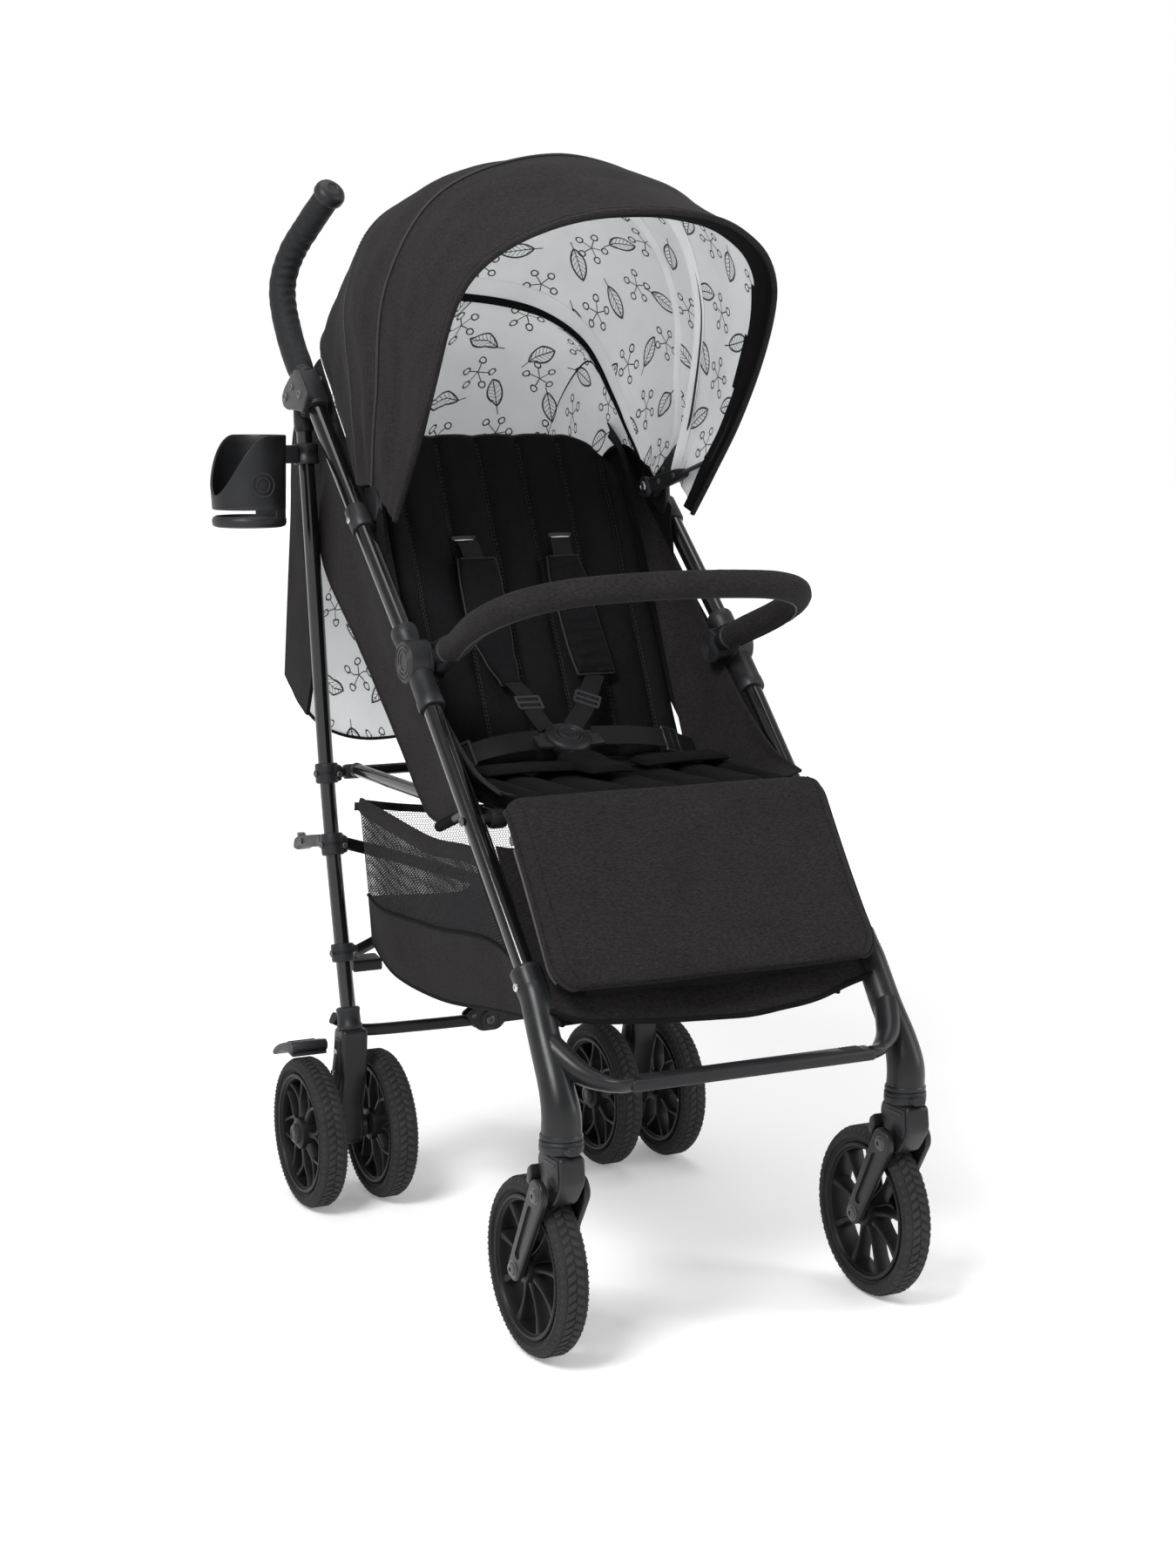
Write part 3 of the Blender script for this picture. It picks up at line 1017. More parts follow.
# ------------------------------------------------------- front wheel units
for side, s in SIDES:
    cx = s * SWIVEL_X
    c = Vector((cx, SWIVEL_Y, 0.2212))
    bm = bmesh.new()
    prof = [(0.0100, 0.0003), (0.0192, 0.0003), (0.0204, 0.0016), (0.0206, 0.0030), (0.0200, 0.0036), (0.0200, 0.0046), (0.0206, 0.0052), (0.0206, 0.0096), (0.0200, 0.0114), (0.0188, 0.0120), (0.0100, 0.0120)]
    ring(bm, c, (0, 0, -1), prof, 72)
    obj(f"swivel_lock_ring_{side}", bm, M_PLASTIC, f"swivel_lock_{side}", "plastic_black", [f"swivel_lock_{side}"])
    bm = bmesh.new()
    plate(bm, rounded([(cx - 0.0062, SWIVEL_Y - 0.0278), (cx + 0.0062, SWIVEL_Y - 0.0278), (cx + 0.0085, SWIVEL_Y - 0.0165), (cx - 0.0085, SWIVEL_Y - 0.0165)], 0.003, 4), 0.2108, 0.2178, 0.0018, axis="z", steps=3)
    for j in range(4):
        y = SWIVEL_Y - 0.0262 + j * 0.0020
        plate(bm, [(cx - 0.0048, y - 0.0004), (cx + 0.0048, y - 0.0004), (cx + 0.0048, y + 0.0004), (cx - 0.0048, y + 0.0004)], 0.2174, 0.2184, 0.0003, axis="z", steps=1)
    obj(f"swivel_lock_tab_{side}", bm, M_PLASTIC, f"swivel_lock_{side}", "plastic_black")
    z0 = 0.2089
    out = rounded([(-0.496, z0), (-0.452, z0), (-0.447, 0.196), (-0.4555, 0.176), (-0.4585, 0.163), (-0.468, 0.1565), (-0.481, 0.160), (-0.489, 0.170), (-0.4995, 0.186)], 0.006, 6)
    bm = bmesh.new()
    plate(bm, out, cx - 0.0125, cx + 0.0125, 0.0030, steps=5)
    obj(f"swivel_block_{side}_looks", bm, M_SATIN, f"swivel_{side}", "plastic_black", [f"swivel_block_{side}"], angle=40)
    # stepped face plates, a slot and the pin
    bm = bmesh.new()
    for q in (-1, 1):
        fp = rounded([(-0.4925, 0.2060), (-0.4560, 0.2060), (-0.4520, 0.1975), (-0.4700, 0.1930), (-0.4800, 0.1800), (-0.4905, 0.1760), (-0.4945, 0.1870)], 0.0030, 5)
        plate(bm, fp, cx + q * 0.0123, cx + q * 0.0139, 0.0007, steps=2)
        plate(bm, rounded([(-0.4880, 0.2020), (-0.4650, 0.2020), (-0.4650, 0.1990), (-0.4880, 0.1990)], 0.001, 3), cx + q * 0.0137, cx + q * 0.0145, 0.0004, steps=2)
    turned(bm, (cx, SWIVEL_Y, z0 - 0.001), (0, 0, 1), [(0.0095, 0), (0.0095, 0.0130)], 36)
    obj(f"swivel_plates_{side}", bm, M_PLASTIC, f"swivel_{side}", "plastic_black", angle=38)
    # fork cheeks with a long recess
    fp, fa = Vector(FORK_PIVOT), Vector(FRONT_AXLE)
    for q in (-1, 1):
        x0, x1 = cx + q * 0.0179, cx + q * 0.0250
        bm = bmesh.new()
        ol = arc(FORK_PIVOT, 0.0150, 32, 213, 22) + arc(FRONT_AXLE, 0.0115, 213, 392, 20)
        plate(bm, ol, x0, x1, 0.0022, steps=4)
        ch = scratch(bm)
        d = (fa - fp).normalized()
        nn = Vector((-d.y, d.x))
        bm = bmesh.new()
        A, B = fp + d * 0.021, fa - d * 0.019
        a0 = atan2(nn.y, nn.x)
        rec = [(A.x + 0.0058 * cos(a0 + t), A.y + 0.0058 * sin(a0 + t)) for t in [pi * k2 / 14 for k2 in range(15)]]
        rec += [(B.x + 0.0046 * cos(a0 + pi + t), B.y + 0.0046 * sin(a0 + pi + t)) for t in [pi * k2 / 14 for k2 in range(15)]]
        plate(bm, rec, cx + q * 0.0228, cx + q * 0.0300, 0.0002, steps=1)
        carve(ch, scratch(bm))
        ch.data.materials.clear()
        ch.data.materials.append(M_SATIN)
        ch.data.shade_smooth()
        ch.data.set_sharp_from_angle(angle=radians(40))
        ch.name = f"fork_cheek_{side}_{'inner' if q * s < 0 else 'outer'}"
        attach(ch, f"fork_{side}")
        if q == 1:
            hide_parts(f"suspension_fork_{side}")
    bm = bmesh.new()
    for q in (-1, 1):
        for yz, r in ((FORK_PIVOT, 0.0062), (FRONT_AXLE, 0.0066)):
            ring(bm, (cx + q * 0.0248, *yz), (q, 0, 0), [(0.0030, 0), (r * 1.22, 0), (r * 1.22, 0.0005), (r * 1.12, 0.0009), (0.0030, 0.0009)], 40)
            bolt(bm, (cx + q * 0.0256, *yz), (q, 0, 0), r, 0.0026, seg=36)
    turned(bm, (cx - 0.0250, *FRONT_AXLE), (1, 0, 0), [(0.0040, 0), (0.0040, 0.0500)], 24)
    turned(bm, (cx - 0.0250, *FORK_PIVOT), (1, 0, 0), [(0.0040, 0), (0.0040, 0.0500)], 24)
    obj(f"fork_bolts_{side}", bm, M_DARKSTEEL, f"fork_{side}", "bright_steel")
    # damper spring between block and fork
    bm = bmesh.new()
    A, B = Vector((cx, -0.4520, 0.1895)), Vector((cx, -0.4395, 0.1835))
    pts = []
    ax, u2, w2 = basis(B - A)
    for j in range(121):
        t = j / 120
        a = 2 * pi * 4.5 * t
        pts.append(A.lerp(B, t) + (u2 * cos(a) + w2 * sin(a)) * 0.0056)
    sweep(bm, pts, 0.0010, 10)
    obj(f"fork_spring_{side}", bm, M_STEEL, f"swivel_{side}", "bright_steel")
    # bridge of the fork behind the block
    bm = bmesh.new()
    plate(bm, rounded([(-0.4460, 0.1920), (-0.4385, 0.1865), (-0.4355, 0.1725), (-0.4420, 0.1700), (-0.4475, 0.1800)], 0.002, 4), cx - 0.0182, cx + 0.0182, 0.0012, steps=3)
    obj(f"fork_bridge_{side}", bm, M_SATIN, f"fork_{side}", "plastic_black", angle=38)


# -------------------------------------------------------------------- wheels
def merge(dst, src):
    """Adds src's geometry to dst and frees it."""
    vm = {v: dst.verts.new(v.co) for v in src.verts}
    for f in src.faces:
        try:
            g = dst.faces.new([vm[v] for v in f.verts])
        except ValueError:
            continue
        g.material_index = f.material_index
    src.free()


def tyre(name, c, r, w, body, node, phase):
    """Tyre with a rounded shoulder, side rings, ribs and a zigzag tread of blocks."""
    c = Vector(c)
    h = w / 2
    bm = bmesh.new()
    base = r - 0.0011
    prof = [(r - 0.0178, -h * 0.60), (r - 0.0160, -h * 0.72), (r - 0.0148, -h * 0.80), (r - 0.0142, -h * 0.775), (r - 0.0128, -h * 0.79), (r - 0.0122, -h * 0.90),
            (r - 0.0088, -h * 0.975), (r - 0.0060, -h * 0.90), (base - 0.0010, -h * 0.72), (base, -h * 0.40), (base, 0), (base, h * 0.40), (base - 0.0010, h * 0.72), (r - 0.0060, h * 0.90),
            (r - 0.0088, h * 0.975), (r - 0.0122, h * 0.90), (r - 0.0128, h * 0.79), (r - 0.0142, h * 0.775), (r - 0.0148, h * 0.80), (r - 0.0160, h * 0.72), (r - 0.0178, h * 0.60)]
    ring(bm, c, (1, 0, 0), prof, 120)
    n = 60

    def block(a0, a1, skew, x0, x1, r0, r1, drop=0.0):
        vs = []
        for rr, ins in ((r0, 0.0), (r1 - 0.0004, 0.0), (r1, 0.0005)):
            row = []
            for a, x in ((a0, x0), (a1, x0), (a1, x1), (a0, x1)):
                sa = skew * (x - x0) / (x1 - x0)
                da = ins / r if a == a0 else -ins / r
                dx = ins if x == x0 else -ins
                q = rr - drop * (abs(x) / h) ** 2.4
                ang = a + sa + da
                row.append(bm.verts.new(c + Vector((x + dx * (1 if x1 > x0 else -1), q * cos(ang), q * sin(ang)))))
            vs.append(row)
        for A, B in zip(vs, vs[1:]):
            for k in range(4):
                bm.faces.new((A[k], A[(k + 1) % 4], B[(k + 1) % 4], B[k]))
        bm.faces.new(vs[-1])
        bm.faces.new(vs[0][::-1])

    st = 2 * pi / n
    for i in range(n):
        a = i * st + phase
        # zigzag centre blocks left and right of the middle
        block(a, a + st * 0.62, st * 0.42, -0.0002 - h * 0.02, -h * 0.52, base - 0.001, r, 0.0)
        block(a + st * 0.5, a + st * 1.12, st * 0.42, 0.0002 + h * 0.02, h * 0.52, base - 0.001, r, 0.0)
        # shoulder lugs
        block(a + st * 0.55, a + st * 1.05, 0.0, -h * 0.60, -h * 0.86, base - 0.0036, r + 0.0002, 0.0056)
        block(a + st * 0.05, a + st * 0.55, 0.0, h * 0.60, h * 0.86, base - 0.0036, r + 0.0002, 0.0056)
    # fine side ribs
    m = 88
    for i in range(m):
        a = 2 * pi * i / m
        for q in (-1, 1):
            da = 0.0007 / r
            vs = []
            for rr, hh in ((r - 0.0118, 0.905), (r - 0.0070, 0.955)):
                for t in (-da, da):
                    vs.append(c + Vector((q * h * hh, rr * cos(a + t), rr * sin(a + t))))
                for t in (-da * 0.5, da * 0.5):
                    vs.append(c + Vector((q * (h * hh + 0.0007), rr * cos(a + t), rr * sin(a + t))))
            b = [bm.verts.new(p) for p in vs]
            for f in ((0, 1, 3, 2), (4, 6, 7, 5), (2, 3, 7, 6), (0, 2, 6, 4), (1, 5, 7, 3), (0, 4, 5, 1)):
                bm.faces.new([b[j] for j in f])
    return obj(name, bm, M_RUBBER, body, "tyre_rubber", [node], angle=40)


def spoke(bm, c, pts, widths, thick, bow=0.0, mat=0):
    """Radial bar: pts are (radius, angle) pairs; a raised rib runs along it on both faces."""
    fr = []
    for i, (rr, a) in enumerate(pts):
        fr.append(Vector((rr * cos(a), rr * sin(a))))
    rows = []
    for i, p in enumerate(fr):
        t = (fr[min(i + 1, len(fr) - 1)] - fr[max(i - 1, 0)]).normalized()
        nn = Vector((-t.y, t.x))
        w = widths[i]
        th = thick[i]
        sec = [(-w, -th * 0.55), (-w * 0.72, -th * 0.92), (-w * 0.30, -th), (w * 0.30, -th), (w * 0.72, -th * 0.92), (w, -th * 0.55), (w, th * 0.55), (w * 0.72, th * 0.92), (w * 0.30, th), (-w * 0.30, th), (-w * 0.72, th * 0.92), (-w, th * 0.55)]
        rows.append([bm.verts.new(c + Vector((x, p.x + nn.x * q, p.y + nn.y * q))) for q, x in sec])
    for A, B in zip(rows, rows[1:]):
        for k in range(12):
            f = bm.faces.new((A[k], A[(k + 1) % 12], B[(k + 1) % 12], B[k]))
            f.material_index = mat
    bm.faces.new(rows[0][::-1])
    bm.faces.new(rows[-1])


def rim(name, c, r_out, w, body, node, kind, s):
    """Moulded rim with a deep well, spokes and a hub."""
    c = Vector(c)
    h = w / 2
    bm = bmesh.new()
    ro = r_out
    prof = [(ro, -h * 1.05), (ro + 0.0004, -h * 0.80), (ro - 0.0006, -h * 0.40), (ro - 0.0006, h * 0.40), (ro + 0.0004, h * 0.80), (ro, h * 1.05), (ro - 0.0016, h * 1.12), (ro - 0.0036, h * 1.08),
            (ro - 0.0044, h * 0.90), (ro - 0.0058, h * 0.82), (ro - 0.0066, h * 0.55), (ro - 0.0072, 0.0), (ro - 0.0066, -h * 0.55), (ro - 0.0058, -h * 0.82), (ro - 0.0044, -h * 0.90), (ro - 0.0036, -h * 1.08), (ro - 0.0016, -h * 1.12)]
    ring(bm, c, (1, 0, 0), prof, 96)
    if kind == "front":
        m = 9
        for i in range(m):
            a = 2 * pi * i / m + 0.2
            pts = [(rr, a) for rr in (0.0130, 0.022, 0.034, 0.048, ro - 0.0052)]
            spoke(bm, c, pts, [0.0050, 0.0030, 0.0026, 0.0030, 0.0056], [0.0108, 0.0096, 0.0080, 0.0082, 0.0100])
        hub = [(0.0044, -0.0162), (0.0120, -0.0162), (0.0140, -0.0150), (0.0152, -0.0110), (0.0158, 0), (0.0152, 0.0110), (0.0140, 0.0150), (0.0120, 0.0162), (0.0044, 0.0162)]
        ring(bm, c, (1, 0, 0), hub, 56)
        for q in (-1, 1):
            ring(bm, c + Vector((q * 0.0158, 0, 0)), (q, 0, 0), [(0.0044, 0), (0.0092, 0), (0.0092, 0.0010), (0.0084, 0.0016), (0.0044, 0.0016)], 40)
    else:
        m = 7
        for i in range(m):
            a = 2 * pi * i / m + 0.3
            # stem, then two curved arms
            pts = [(rr, a) for rr in (0.0150, 0.022, 0.030, 0.0355)]
            spoke(bm, c, pts, [0.0056, 0.0044, 0.0040, 0.0044], [0.0100, 0.0092, 0.0084, 0.0080])
            for q in (-1, 1):
                pts = [(0.033, a + q * 0.02), (0.0390, a + q * 0.085), (0.0460, a + q * 0.185), (0.0535, a + q * 0.270), (ro - 0.0050, a + q * 0.315)]
                spoke(bm, c, pts, [0.0030, 0.0024, 0.0023, 0.0026, 0.0042], [0.0078, 0.0076, 0.0074, 0.0078, 0.0092])
        hub = [(0.0044, -0.0150), (0.0150, -0.0150), (0.0168, -0.0138), (0.0176, -0.0100), (0.0182, 0), (0.0176, 0.0100), (0.0168, 0.0138), (0.0150, 0.0150), (0.0044, 0.0150)]
        ring(bm, c, (1, 0, 0), hub, 64)
        for q in (-1, 1):
            ring(bm, c + Vector((q * 0.0146, 0, 0)), (q, 0, 0), [(0.0044, 0), (0.0128, 0), (0.0128, 0.0008), (0.0116, 0.0016), (0.0044, 0.0016)], 48)
    return obj(name, bm, M_RIM, body, "plastic_black", [node], angle=36)


for side, s in SIDES:
    c = (s * SWIVEL_X, *FRONT_AXLE)
    tyre(f"front_tyre_{side}_looks", c, FRONT_R, TYRE_W, f"front_wheel_{side}", f"front_tyre_{side}", 0.10 if s < 0 else 0.45)
    rim(f"front_rim_{side}_looks", c, FRONT_R - 0.0170, 0.0250, f"front_wheel_{side}", f"front_rim_{side}", "front", s)
    for nm, x in (("outer", REAR_OUTER_X), ("inner", REAR_INNER_X)):
        c = (s * x, *REAR_AXLE)
        body = f"rear_wheel_{nm}_{side}"
        tyre(f"rear_tyre_{nm}_{side}_looks", c, REAR_R, TYRE_W, body, f"rear_tyre_{nm}_{side}", 0.2 * s + (0.3 if nm == "outer" else 0.0))
        rim(f"rear_rim_{nm}_{side}_looks", c, REAR_R - 0.0170, 0.0250, body, f"rear_rim_{nm}_{side}", "rear", s)
        # hub cap on the wheel's free side
        q = s if nm == "outer" else -s
        bm = bmesh.new()
        turned(bm, Vector(c) + Vector((q * 0.0150, 0, 0)), (q, 0, 0), [(0.0108, 0), (0.0112, 0.0010), (0.0108, 0.0032), (0.0092, 0.0048), (0.0062, 0.0056), (0.0056, 0.0050), (0.0030, 0.0049), (0, 0.0053)], 48)
        obj(f"hub_cap_{nm}_{side}", bm, M_SATIN, body, "plastic_black")


# ---------------------------------------------------------------------- hood
def bow(lo, mid, hi, hw, m=96, n=12):
    """Whole bow as m + 1 points from the child's right foot over the crown."""
    ctl = [(hw[0], *lo), (hw[1], *mid[0]), (hw[2], *mid[1]), (hw[3], *mid[2]), (0.0, *hi)]
    ctl = [(-x, y, z) for x, y, z in ctl] + [(x, y, z) for x, y, z in ctl[-2::-1]]
    return evenly(catmull(ctl, n), m)


RIM = bow((-.060, .757), [(-.163, .874), (-.238, .990), (-.290, 1.044)], (-.318, 1.058), (.174, .180, .170, .100))
MIDB = bow((-.020, .792), [(-.048, .880), (-.068, .995), (-.084, 1.088)], (-.094, 1.125), (.181, .186, .182, .125))
REARB = bow((.022, .792), [(.024, .880), (.056, .985), (.082, 1.073)], (.092, 1.108), (.181, .187, .180, .125))
ARCH = bow((.052, .814), [(.118, .884), (.176, .945), (.204, .982)], (.212, .996), (.170, .169, .160, .105))
NC = 96
HC = Vector((0, -0.02, 0.86))


def hood_point(i, t):
    """Column i of the canopy; t from 0 at the rear arch, 1 rear seam, 2 middle bow, to 3 at the rim."""
    P = [ARCH[i], REARB[i], MIDB[i], RIM[i]]
    k = min(2, int(t))
    u = t - k
    p0 = P[k - 1] if k > 0 else P[0] * 2 - P[1]
    p1, p2 = P[k], P[k + 1]
    p3 = P[k + 2] if k < 2 else P[3] * 2 - P[2]
    q = 0.5 * ((2 * p1) + (p2 - p0) * u + (2 * p0 - 5 * p1 + 4 * p2 - p3) * u * u + (3 * p1 - p0 - 3 * p2 + p3) * u ** 3)
    lin = p1.lerp(p2, u)
    q = lin.lerp(q, (0.55, 0.55, 0.75)[k])
    # cloth: slack between the seams, more towards the hinges
    foot = 1 - smooth(min(i, NC - i) / NC * 5.0)
    away = sin(pi * u)
    d = (q - HC)
    d = Vector((d.x, d.y * 0.6, d.z)).normalized()
    w = noise.noise(Vector((i * 0.075 + 4.0, t * 2.2, 1.7))) * 0.0040 + noise.noise(Vector((i * 0.20, t * 5.0, 8.1))) * 0.0016
    w += sin(i * 0.55 + t * 2.0) * 0.0016 * foot
    return q + d * (w * (0.25 + away)) - d * 0.0010 * (1 - away)


def hood_rows(t0, t1, n, inset=0.0):
    rows = []
    for j in range(n + 1):
        t = mix(t0, t1, j / n)
        row = []
        for i in range(NC + 1):
            p = hood_point(i, t)
            if inset:
                d = p - HC
                d = Vector((d.x, d.y * 0.4, d.z)).normalized()
                p = p - d * inset
            row.append(p)
        rows.append(row)
    return rows


def hood_piece(name, bm, mats, which, slot, replaces=(), **kw):
    o = obj(name, bm, mats, None, slot, replaces, **kw)
    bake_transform(o)
    return o


# canopy: charcoal outside, printed lining inside, black facing along the rim
bm = bmesh.new()
rows = hood_rows(0.0, 2.0, 30)
sheet_grid(bm, rows, 0.0026, mats=(0, 1, 2))
o = hood_piece("hood_canopy_rear", bm, [M_CHAR, M_PRINT, M_CHAR], "rear", "fabric_charcoal", ["hood_canopy"], angle=60)
bm = bmesh.new()
rows = hood_rows(2.0, 3.0, 26)
sheet_grid(bm, rows, 0.0026, mats=(0, 1, 2))
bm.faces.ensure_lookup_table()
for f in bm.faces:
    if f.material_index == 1:
        c = f.calc_center_median()
        i = min(range(0, NC + 1, 4), key=lambda q: (RIM[q] - c).length)
        d = min((RIM[q] - c).length for q in range(max(0, i - 4), min(NC, i + 4) + 1))
        left = smooth((c.x - 0.05) / 0.10)
        if d < mix(0.015, 0.042, left * smooth((c.z - 0.84) / 0.08)):
            f.material_index = 3
o = hood_piece("hood_canopy_front", bm, [M_CHAR, M_PRINT, M_CHAR, M_BLACK], "front", "fabric_charcoal", angle=60)


def outward(p, k):
    d = p - HC
    return p + Vector((d.x, d.y * 0.4, d.z)).normalized() * k


def hood_cord(name, t, r, lift, mat, which, slot="fabric_charcoal", flat=1.0, i0=0, i1=NC, sides=10):
    pts = [outward(hood_point(i, t), lift) for i in range(i0, i1 + 1)]
    bm = bmesh.new()
    sweep(bm, pts, r, sides, flat)
    return hood_piece(name, bm, mat, which, slot)


# piped seam over the middle bow, binding round the rim, plain cord at the rear edge
hood_cord("hood_seam_middle", 2.0, 0.0017, 0.0010, M_PIPE, "rear", sides=12)
hood_cord("hood_edge_rim", 3.0, 0.0030, -0.0012, M_CHAR, "front", flat=0.85, sides=14)
hood_cord("hood_edge_arch", 0.0, 0.0019, -0.0006, M_PIPE, "rear")


def stitches(name, pts, which=None, body=None, r=0.00042, dash=0.0030, gap=0.0016, mat=None, sides=5):
    """A row of sewn stitches along pts."""
    total = sum((b - a).length for a, b in zip(pts, pts[1:]))
    n = max(2, int(total / (dash + gap)))
    fine = evenly(pts, n * 3)
    bm = bmesh.new()
    for k in range(n):
        a, b = fine[3 * k], fine[3 * k + 2]
        m = (a + b) / 2
        sweep(bm, [a, m, b], [r * 0.7, r, r * 0.7], sides)
    if which:
        return hood_piece(name, bm, mat or M_STITCH, which, "fabric_charcoal")
    return obj(name, bm, mat or M_STITCH, body, "fabric_black")


stitches("hood_stitch_rim", [outward(hood_point(i, 2.945), 0.0004) for i in range(NC + 1)], "front", mat=M_PIPE, r=0.0005)
stitches("hood_stitch_rim_b", [outward(hood_point(i, 2.985), 0.0006) for i in range(NC + 1)], "front", mat=M_PIPE, r=0.0004)
stitches("hood_stitch_middle", [outward(hood_point(i, 1.955), 0.0005) for i in range(NC + 1)], "rear", mat=M_PIPE, r=0.0004)
stitches("hood_stitch_rear_seam", [outward(hood_point(i, 1.0), 0.0004) for i in range(NC + 1)], "rear", mat=M_PIPE, r=0.0005)
hood_cord("hood_seam_rear", 1.03, 0.0009, 0.0001, M_PIPE, "rear")


def band(name, t0, t1, inset, mat, which, i0=0, i1=NC, n=3, thick=0.0010, slot="fabric_print", puff=0.0):
    rows = []
    for j in range(n + 1):
        t = mix(t0, t1, j / n)
        rows.append([outward(hood_point(i, t), -inset - puff * sin(pi * j / n)) for i in range(i0, i1 + 1)])
    bm = bmesh.new()
    sheet_grid(bm, rows, thick, mats=(0, 0, 0))
    return hood_piece(name, bm, mat, which, slot, angle=60)


# casings sewn inside over the bows, and the bows in them
band("hood_casing_middle", 1.940, 2.004, 0.0034, M_WHITE, "rear", puff=0.0095, n=8)
band("hood_casing_rear", 1.475, 1.535, 0.0030, M_WHITE, "rear", puff=0.0060, n=8)
band("hood_casing_front", 2.862, 2.940, 0.0034, M_BLACK, "front", puff=0.0095, n=8, slot="fabric_black")
# black facing inside the rim, wider towards the child's left
rows = []
for j in range(5):
    row = []
    for i in range(NC + 1):
        wide = 0.030 + 0.115 * smooth((i / NC - 0.52) / 0.16) * (1 - smooth((i / NC - 0.80) / 0.15))
        row.append(outward(hood_point(i, mix(2.965 - wide, 2.992, j / 4)), -0.0026))
    rows.append(row)
bm = bmesh.new()
sheet_grid(bm, rows, 0.0010, mats=(0, 0, 0))
hood_piece("hood_facing", bm, M_BLACK, "front", "fabric_black", angle=60)
for nm, t in (("a", 1.943), ("b", 1.998)):
    stitches(f"hood_casing_stitch_{nm}", [outward(hood_point(i, t), -0.0046) for i in range(3, NC - 2)], "rear", r=0.00035, mat=M_WHITE)
# band over the rear arch: pale binding with a black edge
band("hood_arch_band", 0.02, 0.20, 0.0034, M_WHITE, "rear", n=5, puff=0.001)
band("hood_arch_edge", -0.015, 0.055, 0.0046, M_BLACK, "rear", n=3, slot="fabric_black", puff=0.001)
# peek window under the crown, gathered, with a sewn lower edge
rows = []
for j in range(13):
    v = j / 12
    row = []
    for k in range(41):
        u = k / 40
        i = mix(0.34, 0.585, u) * NC
        a = int(floor(i))
        f_ = i - a
        low = 1.34 + 0.30 * smooth((u - 0.35) / 0.65)
        t = mix(low, 1.93, v)
        p = hood_point(a, t).lerp(hood_point(min(NC, a + 1), t), f_)
        g = sin(u * 95 + 2 * sin(v * 3)) * 0.0012 * (0.4 + 0.6 * v)
        row.append(outward(p, -0.0052 - 0.004 * sin(pi * v) - g))
    rows.append(row)
bm = bmesh.new()
sheet_grid(bm, rows, 0.0008, mats=(0, 0, 0))
o = hood_piece("hood_window", bm, M_MESHGREY, "rear", "fabric_print", angle=60)
edge = [p.copy() for p in rows[0]]
bm = bmesh.new()
sweep(bm, edge, 0.0012, 8, 0.6)
hood_piece("hood_window_edge", bm, M_WHITE, "rear", "fabric_print")

# bows: flat springy strips in the casings, ending in the hinge's arms
for nm, t, body, foot_x, node in (("front", 2.90, "hood_front", 0.1500, "hood_bow_front"), ("middle", 1.972, "hood_middle", 0.1600, "hood_bow_middle")):
    pts = [outward(hood_point(i, t), -0.0062) for i in range(7, NC - 6)]
    a, b = pts[0], pts[-1]
    f0, f1 = Vector((-foot_x, *HOOD)), Vector((foot_x, *HOOD))
    lead = catmull([f0, f0.lerp(a, 0.5) + Vector((-0.004, 0, 0)), a], 6)[:-1]
    tail = catmull([b, b.lerp(f1, 0.5) + Vector((0.004, 0, 0)), f1], 6)[1:]
    full = lead + pts + tail
    bm = bmesh.new()
    sweep(bm, full, 0.0044, 16, 0.42, ref=Vector((0, 1, 0)))
    o = obj(f"hood_bow_{nm}_looks", bm, M_PLASTIC, None, "plastic_black", [node])
    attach(o, body)
    # moulded arm over the foot of the bow, with rivets
    for side, s in SIDES:
        f = Vector((s * foot_x, *HOOD))
        e = lead[3] if s < 0 else tail[-4]
        d = (e - f).normalized()
        n2 = d.cross(Vector((1, 0, 0))).normalized()
        L = 0.060
        ol = [f - d * 0.012 + n2 * 0.006, f - d * 0.012 - n2 * 0.006, f - n2 * 0.0085, f + d * L * 0.8 - n2 * 0.0068, f + d * L - n2 * 0.0040, f + d * L + n2 * 0.0040, f + d * L * 0.8 + n2 * 0.0068, f + n2 * 0.0085]
        bm = bmesh.new()
        plate(bm, rounded([(p.y, p.z) for p in ol], 0.004, 5), s * (foot_x - 0.0046), s * (foot_x + 0.0046), 0.0018, steps=4)
        # lean the arm outwards with the bow
        lean = d.x / max(0.2, hypot(d.y, d.z))
        for v in bm.verts:
            h = (v.co - f).dot(Vector((0, d.y, d.z)).normalized())
            v.co.x += lean * max(0.0, h)
        obj(f"hood_arm_{nm}_{side}", bm, M_PLASTIC, body, "plastic_black", angle=40)
        bm = bmesh.new()
        for q in (0.022, 0.044):
            p = f + Vector((0, d.y, d.z)).normalized() * q
            p.x = s * (foot_x - 0.0044) + lean * q
            rivet(bm, p, (-s, 0, 0), 0.0030, 0.0014)
        obj(f"hood_arm_rivets_{nm}_{side}", bm, M_DARKSTEEL, body, "bright_steel")

